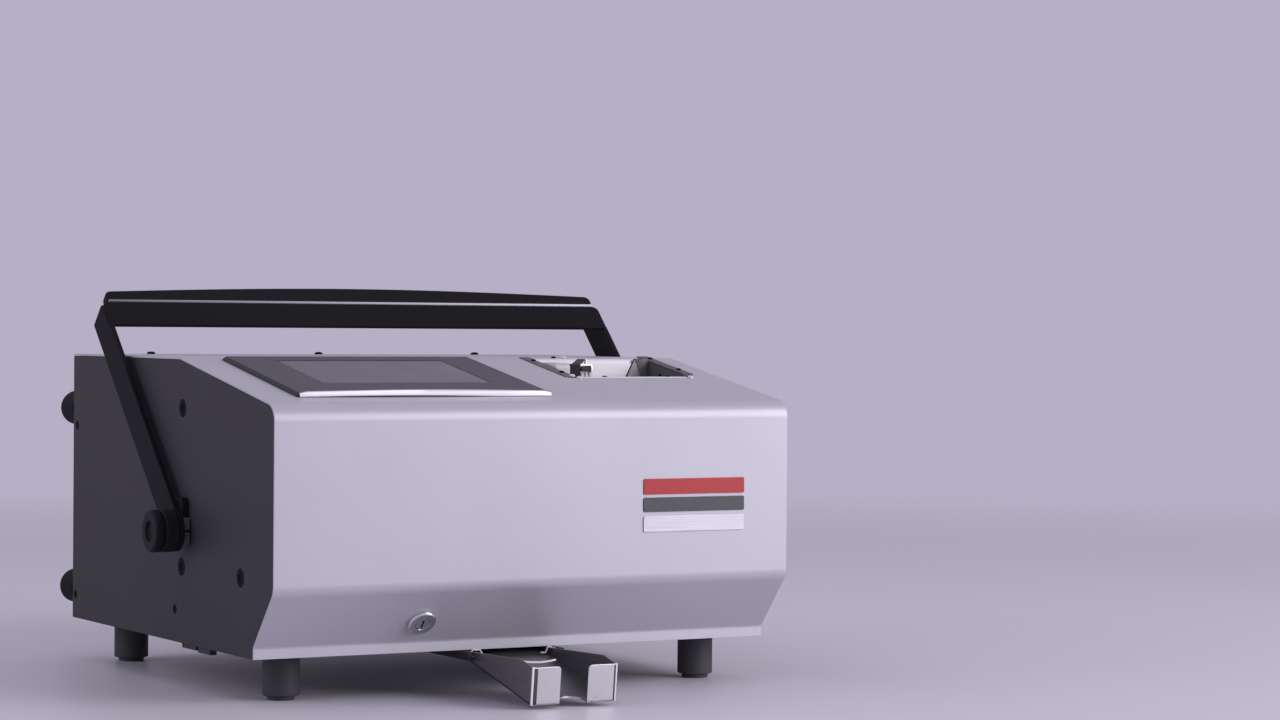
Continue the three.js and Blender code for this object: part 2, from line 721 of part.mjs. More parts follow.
function clampKnob() {
  const start = clearance - armX[0];
  const { radius, reach, collar, waist, disc, edge, recess, recessDepth } = knob;
  const boreEnd = start + pivotStud.beyond + clearance;
  const neck = (start + collar + reach - disc) / 2;
  const body = turned([
    [threadHole, start], [radius, start], [radius, start + collar], [waist, neck],
    [radius, reach - disc], [radius, reach - edge], [radius - edge, reach], [recess, reach],
    [recess, reach - recessDepth], [0, reach - recessDepth], [0, boreEnd],
    [threadHole, boreEnd], [threadHole, start],
  ]);
  return shifted(spun(body, alongY, -90), [0, pivot.y, pivot.z]);
}

for (const [side, flip] of [["left", (body) => body], ["right", mirrored]]) {
  piece(`${side}_handle_stud`, flip(handleStud()), paints.steel);
  piece(`${side}_stud_lug`, flip(studLug()), paints.black);
  piece(`${side}_clamp_knob`, flip(clampKnob()), paints.black);
}

// Carrying handle: two flat arms and a cross bar along their front edges, leaning back at rest
const handle = { rise: 178.54, barHeight: 28, bendRadius: 2 };
const polished = { height: 2.5, thickness: 3.5, inset: 5 };
const grip = { inset: 4, thickness: 12, endRise: 11, middleRise: 18, corner: 6, steps: 16 };
const handleFrame = new THREE.Group();
handleFrame.position.set(0, pivot.y, pivot.z);
handleFrame.rotation.x = -Math.acos(handle.rise / arm.length);
machine.add(handleFrame);

function handleArm() {
  const half = arm.width / 2;
  const outline = rounded([
    [-half, -half, half], [half, -half, half], [half, arm.length, arm.corner], [-half, arm.length, 0],
  ]);
  return cut(
    prism("x", outline, armX),
    bar("x", threadHole, [0, 0, 0], [armX[0] - overrun, armX[1] + overrun]),
  );
}

function handleBracket() {
  const half = arm.width / 2;
  const x = [armX[0], bodyWidth - armX[0]];
  const crossBar = prism("z", rounded([
    [x[0], -half, handle.bendRadius], [x[1], -half, handle.bendRadius],
    [x[1], -half + arm.thickness, 0], [x[0], -half + arm.thickness, 0],
  ]), [arm.length - handle.barHeight, arm.length]);
  const left = handleArm();
  const right = mirrored(left);
  const trimmed = [left, right].map((body) => cut(body, barZone()));
  return join(crossBar, ...trimmed);
}

// The arms stop behind the cross bar's outer bend, so that the bend shows
function barZone() {
  const half = arm.width / 2;
  return block([armX[0] - overrun, bodyWidth - armX[0] + overrun],
    [-half - overrun, -half + arm.thickness / 2],
    [arm.length - handle.barHeight, arm.length + overrun]);
}

function gripBody() {
  const half = arm.width / 2;
  const bottom = arm.length + 2 * clearance + polished.height;
  const x = [armX[0] + grip.inset, bodyWidth - armX[0] - grip.inset];
  const length = x[1] - x[0];
  const arch = Array.from({ length: grip.steps + 1 }, (_, i) => {
    const share = i / grip.steps;
    const along = x[0] + grip.corner + (length - 2 * grip.corner) * share;
    const rise = grip.endRise + (grip.middleRise - grip.endRise) * Math.sin(Math.PI * share);
    return [bottom + rise, along];
  });
  const corner = (at, direction, order) => Array.from({ length: bendSteps }, (_, i) => {
    const turn = (Math.PI / 2) * ((order > 0 ? i : bendSteps - 1 - i) / bendSteps);
    return [bottom + grip.endRise - grip.corner + grip.corner * Math.sin(turn),
      at + direction * grip.corner * Math.cos(turn)];
  });
  const outline = [
    [bottom, x[0]],
    ...corner(x[0] + grip.corner, -1, 1),
    ...arch,
    ...corner(x[1] - grip.corner, 1, -1),
    [bottom, x[1]],
  ];
  return prism("y", outline.reverse(), [-half, -half + grip.thickness]);
}

piece("handle_bracket", handleBracket(), paints.black, handleFrame);
piece(
  "handle_strip",
  block([armX[0] + polished.inset, bodyWidth - armX[0] - polished.inset],
    [-arm.width / 2, -arm.width / 2 + polished.thickness],
    [arm.length + clearance, arm.length + clearance + polished.height]),
  paints.chrome, handleFrame,
);
piece("handle_grip", gripBody(), paints.rubber, handleFrame);

// Tags: standing in the magazine with their long side up
const tag = { long: 50.8, short: 28.6, stack: 13.7, corner: 7 };
const magazine = { endGap: 2, floor: 218.4, sheet: 1.5, rearWall: 178.8, wallTop: 250, rearTop: 268.5 };
const magazineX = [
  mouthInside.x[0] + strip.width + clearance, mouthInside.x[1] - cheek.thickness - magazine.endGap,
];
const tagY = [magazine.rearWall - clearance - tag.short, magazine.rearWall - clearance];
const stackStart = magazineX[0] + magazine.sheet + clearance;
const stackX = [stackStart, stackStart + tag.stack];
const tagPlane = stackStart + magazine.sheet;

piece(
  "tag_stack",
  prism("x", roundedBox(tagY, [magazine.floor + clearance, magazine.floor + clearance + tag.long],
    tag.corner), stackX),
  paints.aluminium,
);

// Magazine: a sheet trough with a slot in its floor under the last tag and ears for the feed roller
const roller = { radius: 10, width: 18, shaft: 3, z: 250 };
const rollerX = magazineX[0] - clearance - roller.radius;
const ear = { reach: 8, height: 8 };
const hanger = { z: [254, 256], inset: 20, width: 14 };

// Where the mouth's folded flange stands at a height
function mouthFlangeY(z) {
  return (hopperMouth.s[1] - skin / 2) / Math.cos(slopeAngle) - (z - slopeFoot) * Math.tan(slopeAngle);
}

function tagMagazine() {
  const { floor, sheet, rearWall, wallTop, rearTop } = magazine;
  const x = magazineX;
  const frontWall = tagY[0] - clearance;
  const y = [frontWall - sheet, rearWall + sheet];
  const earX = [rollerX - ear.reach, x[0] + sheet];
  const earZ = [roller.z - ear.height, roller.z + ear.height];
  const hangerY = [rearWall, mouthFlangeY(hanger.z[1]) - clearance];
  const hangers = [
    [x[0] + hanger.inset, x[0] + hanger.inset + hanger.width],
    [x[1] - hanger.inset - hanger.width, x[1] - hanger.inset],
  ].map((ends) => block(ends, hangerY, hanger.z));
  return cut(
    join(
      block(x, y, [floor - sheet, floor]),
      block(x, [rearWall, y[1]], [floor - sheet, rearTop]),
      block(x, [y[0], frontWall], [floor - sheet, wallTop]),
      block([x[0], x[0] + sheet], y, [floor - sheet, roller.z - roller.radius - ear.height / 2]),
      block(earX, [y[0], frontWall], earZ),
      block(earX, [rearWall, y[1]], earZ),
      ...hangers,
    ),
    block(span(tagPlane, 2 * sheet), tagY, [floor - sheet - overrun, floor + overrun / 2]),
    bar("y", roller.shaft + clearance, [rollerX, 0, roller.z], [y[0] - overrun, y[1] + overrun]),
  );
}

piece("tag_magazine", tagMagazine(), paints.aluminium);

function feedRoller() {
  const middle = (tagY[0] + tagY[1]) / 2;
  const shaftEnds = [tagY[0] - 2 * magazine.sheet, tagY[1] + 2 * magazine.sheet];
  return join(
    bar("y", roller.radius, [rollerX, 0, roller.z], span(middle, roller.width), roundSteps),
    bar("y", roller.shaft, [rollerX, 0, roller.z], shaftEnds),
  );
}

piece("feed_roller", feedRoller(), paints.rubber);

// Pusher: a block that presses the tags against the feed end, with a finger tab
const pusher = { thickness: 10, top: 270.4, tab: 11, tabHeight: 6.5, tabDepth: 12 };
const pusherX = [stackX[1] + clearance, stackX[1] + clearance + pusher.thickness];

piece(
  "tag_pusher",
  join(
    block(pusherX, tagY, [magazine.floor + clearance, pusher.top]),
    block([pusherX[1] - clearance, pusherX[1] + pusher.tab], [tagY[0], tagY[0] + pusher.tabDepth],
      [pusher.top - pusher.tabHeight, pusher.top]),
  ),
  paints.black,
);

// Mechanism plates: they stand on the base and carry the wheel, the motors and the rail
const wheel = { z: 146, radius: 58, disc: 16, gap: 14, hub: 14, journal: 6, teeth: 36, notch: 3 };
const depthShares = { wheel: 0.618, motor: 0.8774 };
const fanFront = rearInner - fan.depth;
const wheelY = fanFront * depthShares.wheel;
const motorY = fanFront * depthShares.motor;
const wheelSide = wheel.gap / 2 + wheel.disc;
const mech = {
  sheet: 6, left: 12, right: 20, front: 178, behindMotor: 33, shoulder: 118, noseFront: 150, top: 207,
  rearTop: 180, bend: 48, railFront: 60,
};
const mechRear = motorY + mech.behindMotor;
const mechBend = wheelY + mech.bend;
const mechLeft = [tagPlane - wheelSide - mech.left - mech.sheet, tagPlane - wheelSide - mech.left];
const mechRight = [tagPlane + wheelSide + mech.right, tagPlane + wheelSide + mech.right + mech.sheet];
const wheelMotor = { size: 57, length: 56, shaft: 4, boss: 12 };
const nose = { radius: 3, rimInset: 6, gap: 4.5 };
const noseY = wheelY - wheel.radius + nose.rimInset;

function barHole() {
  const [y, z] = tieBars.rear_tie_bar;
  return bar("x", tieBarRadius + clearance, [0, y, z], [mechLeft[0] - overrun, mechRight[1] + overrun],
    roundSteps);
}

function journalHole() {
  return bar("x", wheel.journal + clearance, [0, wheelY, wheel.z],
    [mechLeft[0] - overrun, mechRight[1] + overrun]);
}

function leftMechPlate() {
  const outline = [
    [mech.front, baseTop + clearance], [mechRear, baseTop + clearance], [mechRear, mech.rearTop],
    [mechBend, mech.top], [mech.noseFront, mech.top], [mech.noseFront, mech.shoulder],
    [mech.front, mech.shoulder],
  ];
  const bossHole = bar("x", wheelMotor.boss, [0, motorY, wheel.z],
    [mechLeft[0] - overrun, mechLeft[1] + overrun]);
  return cut(prism("x", outline, mechLeft), barHole(), journalHole(), bossHole);
}

// Press pivot: two lugs on the right plate with a pin between them
const pressArm = {
  gap: 3.5, thickness: 12.5, front: 62, rear: 50, z: [140, 152], behindWheel: 38, pin: 4,
};
const pressPivotY = wheelY + pressArm.behindWheel;
const pressArmX = [mechRight[1] + pressArm.gap, mechRight[1] + pressArm.gap + pressArm.thickness];
const pressLug = { height: 5, reach: 8 };
const pressPivotX = (pressArmX[0] + pressArmX[1]) / 2;

function pressPivot() {
  const x = [mechRight[1] - clearance, pressPivotX + pressLug.reach];
  const y = span(pressPivotY, 2 * pressLug.reach);
  const [bottom, top] = pressArm.z;
  return join(
    block(x, y, [bottom - clearance - pressLug.height, bottom - clearance]),
    block(x, y, [top + clearance, top + clearance + pressLug.height]),
    bar("z", pressArm.pin, [pressPivotX, pressPivotY, 0],
      [bottom - pressLug.height / 2, top + pressLug.height / 2]),
  );
}

function rightMechPlate() {
  const outline = [
    [mech.railFront, baseTop + clearance], [mechRear, baseTop + clearance],
    [mechRear, mech.rearTop], [mechBend, mech.top], [mech.railFront, mech.top],
  ];
  const noseHole = bar("x", 2 * nose.radius, [0, noseY, wheel.z],
    [mechRight[0] - overrun, mechRight[1] + overrun]);
  const [y, z] = tieBars.front_tie_bar;
  const frontHole = bar("x", tieBarRadius + clearance, [0, y, z],
    [mechRight[0] - overrun, mechRight[1] + overrun], roundSteps);
  return join(
    cut(prism("x", outline, mechRight), barHole(), frontHole, journalHole(), noseHole),
    pressPivot(),
  );
}

piece("left_mechanism_plate", leftMechPlate(), paints.aluminium);
piece("right_mechanism_plate", rightMechPlate(), paints.aluminium);

// Type wheel: two notched discs on one hub, with the tag between them, and its pulley
const pulley = { gap: 3, width: 10, radius: 26, motorRadius: 10 };
const pulleyX = [mechLeft[0] - pulley.gap - pulley.width, mechLeft[0] - pulley.gap];

// Each tooth's points as shares of its pitch, paired with shares of the notch's depth
const toothShares = [[0, 0], [0.55, 0], [0.65, 1], [0.9, 1]];

function notchedDisc(x) {
  const outline = Array.from({ length: wheel.teeth }, (_, i) => {
    const pitch = (2 * Math.PI) / wheel.teeth;
    return toothShares.map(([along, low]) => {
      const turn = pitch * (i + along);
      const radius = wheel.radius - low * wheel.notch;
      return [wheelY + radius * Math.cos(turn), wheel.z + radius * Math.sin(turn)];
    });
  }).flat();
  return prism("x", outline, x);
}

function typeWheel() {
  const half = wheel.gap / 2;
  const left = [tagPlane - wheelSide, tagPlane - half];
  const right = [tagPlane + half, tagPlane + wheelSide];
  const centre = [0, wheelY, wheel.z];
  return join(
    notchedDisc(left),
    notchedDisc(right),
    bar("x", wheel.hub, centre, [mechLeft[1] + 2 * clearance, mechRight[0] - 2 * clearance], roundSteps),
    bar("x", wheel.journal, centre, [pulleyX[0], mechRight[1] - clearance]),
  );
}

function pulleyWheel(radius, bore, y) {
  return cut(
    bar("x", radius, [0, y, wheel.z], pulleyX, roundSteps),
    bar("x", bore + clearance, [0, y, wheel.z], [pulleyX[0] - overrun, pulleyX[1] + overrun]),
  );
}

piece("type_wheel", typeWheel(), paints.steel);
piece("wheel_pulley", pulleyWheel(pulley.radius, wheel.journal, wheelY), paints.aluminium);
piece("motor_pulley", pulleyWheel(pulley.motorRadius, wheelMotor.shaft, motorY), paints.aluminium);

// Wheel motor on the left plate, and the belt between the two pulleys
const belt = { thickness: 1.6, edge: 1 };

piece(
  "wheel_motor",
  join(
    block([mechLeft[1], mechLeft[1] + wheelMotor.length], span(motorY, wheelMotor.size),
      span(wheel.z, wheelMotor.size)),
    bar("x", wheelMotor.shaft, [0, motorY, wheel.z], [pulleyX[0], mechLeft[1] + overrun]),
  ),
  paints.black,
);

// The open line round two pulleys: the arcs end where the straight runs leave them
function beltOutline(extra) {
  const large = pulley.radius + clearance + extra;
  const small = pulley.motorRadius + clearance + extra;
  const lean = Math.acos((large - small) / (motorY - wheelY));
  const arc = (centre, radius, from, to) => Array.from({ length: smallSteps + 1 }, (_, i) => {
    const turn = from + ((to - from) * i) / smallSteps;
    return [centre + radius * Math.cos(turn), wheel.z + radius * Math.sin(turn)];
  });
  return [
    ...arc(wheelY, large, lean, 2 * Math.PI - lean),
    ...arc(motorY, small, -lean, lean),
  ];
}

function driveBelt() {
  const x = [pulleyX[0] + belt.edge, pulleyX[1] - belt.edge];
  return cut(
    prism("x", beltOutline(belt.thickness), x),
    prism("x", beltOutline(0), [x[0] - overrun, x[1] + overrun]),
  );
}

piece("drive_belt", driveBelt(), paints.rubber);

// Press: a lever whose nose strikes the type, an eccentric cam and its gear motor
const pressCam = { radius: 14, throw: 3, gap: 0.5, z: [138, 154] };
const pressMotor = { behindBar: 2.6, radius: 18, foot: 2.8, top: 128, shaft: 5, shaftTop: 158 };
const pressMotorY = tieBars.rear_tie_bar[0] + tieBarRadius + pressMotor.behindBar + pressMotor.radius;
const pressMotorX = pressArmX[1] + pressCam.gap + pressCam.throw + pressCam.radius;

function pressLever() {
  const { front, rear, z, pin } = pressArm;
  return cut(
    join(
      block(pressArmX, [wheelY - front, wheelY + rear], z),
      bar("x", nose.radius, [0, noseY, wheel.z],
        [tagPlane + wheelSide + nose.gap, pressArmX[0] + clearance]),
    ),
    bar("z", pin + clearance, [pressPivotX, pressPivotY, 0], [z[0] - overrun, z[1] + overrun]),
  );
}

function pressMotorBody() {
  const { radius, foot: flange, top, shaft, shaftTop } = pressMotor;
  const y = pressMotorY;
  const bottom = baseTop + clearance;
  return join(
    bar("z", radius, [pressMotorX, y, 0], [bottom, top], roundSteps),
    bar("z", shaft, [pressMotorX, y, 0], [bottom, shaftTop]),
    block(span(pressMotorX, 2 * radius), span(y, 2 * radius), [bottom, bottom + flange]),
  );
}

function eccentric() {
  const { radius, z } = pressCam;
  return cut(
    bar("z", radius, [pressMotorX, pressMotorY + pressCam.throw, 0], z, roundSteps),
    bar("z", pressMotor.shaft + clearance, [pressMotorX, pressMotorY, 0],
      [z[0] - overrun, z[1] + overrun]),
  );
}

piece("press_lever", pressLever(), paints.steel);
piece("press_motor", pressMotorBody(), paints.black);
piece("press_cam", eccentric(), paints.steel);

// Tag transport: a rail on the right plate, a carriage along it and a clamp that rises on its post
const guide = { thickness: 8, y: [64, 196], z: [168, 180] };
const guideX = [mechRight[0] - guide.thickness, mechRight[0]];
const carriage = { y: [96, 132], z: [160, 188], wall: 10, post: 6, postY: [106, 122], postZ: [118, 200] };
const carriageFace = guideX[0] - carriage.wall;
const postX = [carriageFace - carriage.post, carriageFace];
const clamp = {
  wall: 10, y: [100, 128], z: [150, 176], arm: 6, armZ: [156, 170], armRear: 112, jawY: 152,
  jawSlot: 0.6, grip: 3,
};
const clampX = [postX[0] - clamp.wall, postX[1] - 2 * clearance];

piece("carriage_rail", block(guideX, guide.y, guide.z), paints.steel);

function loosened([from, to]) {
  return [from - clearance, to + clearance];
}

function carriageBlock() {
  return join(
    cut(
      block([carriageFace, guideX[1] - clearance], carriage.y, carriage.z),
      block([guideX[0] - clearance, guideX[1] + overrun],
        [carriage.y[0] - overrun, carriage.y[1] + overrun], loosened(guide.z)),
    ),
    block([postX[0], postX[1] + clearance], carriage.postY, carriage.postZ),
  );
}

function tagClamp() {
  const jawX = span(tagPlane, clamp.arm);
  const collar = cut(
    block(clampX, clamp.y, clamp.z),
    block([postX[0] - clearance, clampX[1] + overrun], loosened(carriage.postY),
      [clamp.z[0] - overrun, clamp.z[1] + overrun]),
  );
  return cut(
    join(
      collar,
      block([jawX[0], clampX[0] + clearance], [clamp.y[0], clamp.armRear], clamp.armZ),
      block(jawX, [clamp.y[0], clamp.jawY], clamp.armZ),
    ),
    block(span(tagPlane, clamp.jawSlot), [clamp.jawY - clamp.grip, clamp.jawY + overrun],
      [clamp.armZ[0] - overrun, clamp.armZ[1] + overrun]),
  );
}

piece("tag_carriage", carriageBlock(), paints.aluminium);
piece("tag_clamp", tagClamp(), paints.black);

// Exit chute: a shallow trough that leads down from the clamp to the drop slot
const chute = {
  side: 3, front: 68, lift: 3.8, short: 7.5, rise: 36, width: 58, sheet: 1.5, wall: 8, turn: -45,
};
const chuteLow = [trayMiddle + chute.side, chute.front, baseTop + chute.lift];
const chuteAcross = tagPlane - chute.short - chuteLow[0];
const chuteRun = Math.hypot(chuteAcross, chuteAcross);
const chuteProp = { along: 33, size: 10 };

function exitChute() {
  const length = Math.hypot(chuteRun, chute.rise);
  const pitch = THREE.MathUtils.radToDeg(Math.atan2(chute.rise, chuteRun));
  const x = span(0, chute.width);
  const flat = cut(
    block(x, [0, length], [-chute.sheet, chute.wall]),
    block([x[0] + chute.sheet, x[1] - chute.sheet], [-overrun, length + overrun],
      [0, chute.wall + overrun]),
  );
  const trough = shifted(spun(spun(flat, alongX, pitch), alongZ, chute.turn), chuteLow);
  const [x0, y0, z0] = chuteLow;
  const { along, size } = chuteProp;
  const height = z0 + (Math.hypot(along, along) * chute.rise) / chuteRun - chute.sheet / 2;
  return join(trough,
    block(span(x0 + along, size), span(y0 + along, size), [baseTop + clearance, height]));
}

piece("exit_chute", exitChute(), paints.stainless);

// Electronics: power supply and controller board on the base
const supply = { x: [40, 140], length: 118, behind: 31, height: 42 };
const supplyY = [rearInner - supply.behind - supply.length, rearInner - supply.behind];
const board = { x: [30, 160], length: 142, gap: 12, lift: 10, sheet: 1.6, pillar: 3, margin: 6 };
const boardY = [supplyY[0] - board.gap - board.length, supplyY[0] - board.gap];
const processor = { x: 20, y: 30, width: 30, length: 30, height: 8 };
const motorDriver = { x: 70, y: 20, width: 30, length: 60, height: 14 };
const connectors = { x: 20, y: 100, width: 70, length: 20, height: 12 };

piece(
  "power_supply",
  block(supply.x, supplyY, [baseTop + clearance, baseTop + supply.height]),
  paints.aluminium,
);

function controllerBoard() {
  const bottom = baseTop + board.lift;
  const top = bottom + board.sheet;
  const places = board.x.flatMap((x, i) => boardY.map((y, j) => [
    x + board.margin * (i ? -1 : 1), y + board.margin * (j ? -1 : 1),
  ]));
  return join(
    block(board.x, boardY, [bottom, top]),
    ...places.map(([x, y]) => bar("z", board.pillar, [x, y, 0], [baseTop + clearance, top])),
    ...[processor, motorDriver, connectors].map(({ x, y, width, length, height }) => block(
      [board.x[0] + x, board.x[0] + x + width], [boardY[0] + y, boardY[0] + y + length],
      [top - board.sheet / 2, top + height])),
  );
}

piece("controller_board", controllerBoard(), paints.board);

// The origin lies on the table, under the middle of the whole machine
const rearMost = bodyDepth + backFoot.length;
machine.position.set(-bodyWidth / 2, -(trayFront + rearMost) / 2, 0);
const part = new THREE.Group();
part.add(machine);

export default part;
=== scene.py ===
import math

import bmesh
import bpy
from mathutils import Matrix, Vector
from mathutils.geometry import delaunay_2d_cdt


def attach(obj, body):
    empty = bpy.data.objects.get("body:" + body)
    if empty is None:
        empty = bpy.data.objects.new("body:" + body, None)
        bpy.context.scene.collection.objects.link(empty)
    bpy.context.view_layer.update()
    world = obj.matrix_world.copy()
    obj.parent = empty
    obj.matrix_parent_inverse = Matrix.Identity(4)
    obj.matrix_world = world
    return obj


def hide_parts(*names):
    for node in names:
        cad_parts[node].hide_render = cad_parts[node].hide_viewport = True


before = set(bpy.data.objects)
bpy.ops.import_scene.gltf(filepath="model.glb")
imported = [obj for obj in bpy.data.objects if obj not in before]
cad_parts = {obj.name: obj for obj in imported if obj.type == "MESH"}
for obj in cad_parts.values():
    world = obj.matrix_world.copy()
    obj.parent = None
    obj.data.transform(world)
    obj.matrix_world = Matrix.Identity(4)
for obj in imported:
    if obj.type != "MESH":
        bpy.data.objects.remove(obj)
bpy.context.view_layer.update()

# The view of the photograph: a long lens low over the table, to the left of the machine.
# The machine is drawn in millimetres from its left face, its front plane and the table,
# and on_casing carries such a place into the frame's metres.
camera_place = Vector((-1.2435, -2.5414, 0.3066))
yaw, pitch, roll = (math.radians(angle) for angle in (29.739, -0.691, 0.458))
lens_mm, sensor_mm = 91.76, 36.0

ahead = Vector((math.sin(yaw) * math.cos(pitch), math.cos(yaw) * math.cos(pitch),
                math.sin(pitch)))
level = Vector((math.cos(yaw), -math.sin(yaw), 0.0))
upright = level.cross(ahead)
turned_right = math.cos(roll) * level + math.sin(roll) * upright
turned_up = math.cos(roll) * upright - math.sin(roll) * level
camera = bpy.data.objects.new("camera", bpy.data.cameras.new("camera"))
camera.data.lens, camera.data.sensor_width = lens_mm, sensor_mm
camera.matrix_world = Matrix.Translation(camera_place) @ Matrix(
    (turned_right, turned_up, -ahead)).transposed().to_4x4()
bpy.context.scene.collection.objects.link(camera)
bpy.context.scene.camera = camera
bpy.context.scene.view_settings.view_transform = "Standard"

millimetre, casing_corner = 0.001, (-0.235, -0.206, 0.0)
on_casing = Matrix.Translation(casing_corner) @ Matrix.Scale(millimetre, 4)

# Studio: a pale table and backdrop, one wide soft lamp before the machine, one above it and
# a weaker one on the left. Glossy and transmitted rays see the same pale room as the camera.
table_size, table_roughness, table_cloud_scale = 16.0, 0.45, 3.0
table_colour, table_darkest = (0.71, 0.68, 0.78), 0.97
haze_from, haze_to = 1.1, 3.2
room_colour, room_light, room_strength = (0.47, 0.43, 0.56, 1.0), (0.92, 0.9, 1.0, 1.0), 0.36
lamp_aim = Vector((0.0, 0.0, 0.15))
lamps = {
    "front_lamp": {"at": (2.0, -2.3, 1.25), "size": 2.2, "watts": 68.5, "colour": (1.0, 0.98, 1.0)},
    "top_lamp": {"at": (-0.4, 0.9, 2.4), "size": 2.4, "watts": 7.0, "colour": (0.95, 0.93, 1.0)},
    "left_lamp": {"at": (-2.6, 0.4, 1.1), "size": 1.6, "watts": 16.0, "colour": (0.93, 0.9, 1.0)},
}


def give(tree, fed, inputs):
    """Gives each input of a node its value, or links another node's output to it."""
    for socket, value in inputs.items():
        if isinstance(value, bpy.types.NodeSocket):
            tree.links.new(value, fed.inputs[socket])
        else:
            fed.inputs[socket].default_value = value


def new_node(tree, kind, inputs=None, **settings):
    """A new node with its settings made and then its inputs given."""
    made = tree.nodes.new(kind)
    for setting, value in settings.items():
        setattr(made, setting, value)
    give(tree, made, inputs or {})
    return made


def node_material(name):
    """A new material, its node tree, its principled shader and the place on the object."""
    material = bpy.data.materials.new(name)
    material.use_nodes = True
    tree = material.node_tree
    place = new_node(tree, "ShaderNodeTexCoord").outputs["Object"]
    return material, tree, tree.nodes["Principled BSDF"], place


def noise(tree, place, scale, detail=2.0):
    """A noise over a place, about 0.5."""
    return new_node(tree, "ShaderNodeTexNoise",
                    {"Vector": place, "Scale": scale, "Detail": detail}).outputs["Fac"]


def tones(tree, share, low, high, span=(0.0, 1.0)):
    """A colour that goes from low to high while the share goes over its span."""
    ramp = new_node(tree, "ShaderNodeValToRGB", {"Fac": share})
    for element, position, colour in zip(ramp.color_ramp.elements, span, (low, high)):
        element.position, element.color = position, (*colour, 1.0)
    return ramp.outputs["Color"]


table_finish, table_tree, table_shader, on_table = node_material("table_top")
table_clouds = noise(table_tree, on_table, table_cloud_scale)
give(table_tree, table_shader, {
    "Base Color": tones(table_tree, table_clouds, [part * table_darkest for part in table_colour],
                        table_colour),
    "Roughness": table_roughness})
# Far from the machine the table fades into the room's own colour, so that no horizon shows
table_reach = new_node(table_tree, "ShaderNodeVectorMath", {0: on_table}, operation="LENGTH")
table_fade = new_node(table_tree, "ShaderNodeMapRange", {
    "Value": table_reach.outputs["Value"], "From Min": haze_from, "From Max": haze_to},
    interpolation_type="SMOOTHSTEP")
table_far = new_node(table_tree, "ShaderNodeEmission", {"Color": room_colour})
table_mix = new_node(table_tree, "ShaderNodeMixShader", {
    0: table_fade.outputs["Result"], 1: table_shader.outputs["BSDF"],
    2: table_far.outputs["Emission"]})
give(table_tree, table_tree.nodes["Material Output"], {"Surface": table_mix.outputs["Shader"]})

bpy.ops.mesh.primitive_plane_add(size=table_size, location=(0.0, 0.0, 0.0))
table_top = bpy.context.object
table_top.name = "table_top"
table_top.data.materials.append(table_finish)

for lamp_name, lamp in lamps.items():
    light = bpy.data.lights.new(lamp_name, "AREA")
    light.energy, light.size, light.color = lamp["watts"], lamp["size"], lamp["colour"]
    holder = bpy.data.objects.new(lamp_name, light)
    towards = (lamp_aim - Vector(lamp["at"])).to_track_quat("-Z", "Y").to_matrix().to_4x4()
    holder.matrix_world = Matrix.Translation(lamp["at"]) @ towards
    bpy.context.scene.collection.objects.link(holder)

room = bpy.data.worlds.new("room")
bpy.context.scene.world = room
room.use_nodes = True
room_tree = room.node_tree
room_seen = new_node(room_tree, "ShaderNodeBackground", {"Color": room_colour})
room_lit = room_tree.nodes["Background"]
give(room_tree, room_lit, {"Color": room_light, "Strength": room_strength})
rays = new_node(room_tree, "ShaderNodeLightPath").outputs
sees_room = rays["Is Camera Ray"]
for ray in ("Is Glossy Ray", "Is Transmission Ray"):
    sees_room = new_node(room_tree, "ShaderNodeMath", {0: sees_room, 1: rays[ray]},
                         operation="MAXIMUM").outputs[0]
room_mix = new_node(room_tree, "ShaderNodeMixShader", {
    0: sees_room, 1: room_lit.outputs[0], 2: room_seen.outputs[0]})
give(room_tree, room_tree.nodes["World Output"], {"Surface": room_mix.outputs[0]})

# Side panels: 10 mm plates, dark grey powder coat, cut with counterbores for three large and
# three small screws. Their edges follow the hood, one sheet's thickness inside it.
casing_width, casing_top, casing_bottom, rear_face = 470.0, 273.0, 37.2, 451.0
slope_rear, slope_foot = (197.3, casing_top), (0.0, 238.2)
chamfer_top, chamfer_foot = (0.0, 92.2), (39.1, 46.1)
casing_line = [(rear_face, casing_top, 0), (*slope_rear, 6), (*slope_foot, 15), (*chamfer_top, 15),
               (*chamfer_foot, 4), (chamfer_foot[0], casing_bottom, 0)]
panel_line = [(rear_face, 271.2, 1), (197.1, 271.2, 6), (1.8, 236.7, 13.2), (1.8, 92.9, 13.2),
              (40.9, 46.8, 2.2), (40.9, casing_bottom, 1), (rear_face, casing_bottom, 1)]
panel_thickness, panel_edge = 10.0, 0.4
large_holes = [(190.7, 231.2), (191.4, 100.2), (66.3, 99.9)]
small_holes = [(441.6, 209.2), (443.7, 58.2), (205.5, 64.0)]
large_bore, small_bore, stud_bore = 7.5, 4.0, 6.3
handle_pivot = (184.8, 130.7)
panel_grey, panel_grey_light = (0.03, 0.028, 0.034), (0.042, 0.04, 0.047)


def casing_at(x, y, z):
    """The casing's axes, moved to a place on it."""
    return on_casing @ Matrix.Translation((x, y, z))


def rounded(corners, steps=10):
    """An outline whose corners (u, v, radius) are turned into arcs."""
    points = []
    for i, (u, v, radius) in enumerate(corners):
        corner = Vector((u, v))
        if radius <= 0:
            points.append((u, v))
            continue
        before = (Vector(corners[i - 1][:2]) - corner).normalized()
        after = (Vector(corners[(i + 1) % len(corners)][:2]) - corner).normalized()
        half = before.angle(after) / 2
        centre = corner + (before + after).normalized() * radius / math.sin(half)
        start = corner + before * radius / math.tan(half) - centre
        end = corner + after * radius / math.tan(half) - centre
        sweep = math.atan2(start.cross(end), start.dot(end))
        for step in range(steps + 1):
            point = centre + Matrix.Rotation(sweep * step / steps, 2) @ start
            points.append(tuple(point))
    return points


def circle(centre, radius, steps=48):
    """A round outline about a centre."""
    turns = [2 * math.pi * i / steps for i in range(steps)]
    return [(centre[0] + radius * math.cos(t), centre[1] + radius * math.sin(t)) for t in turns]


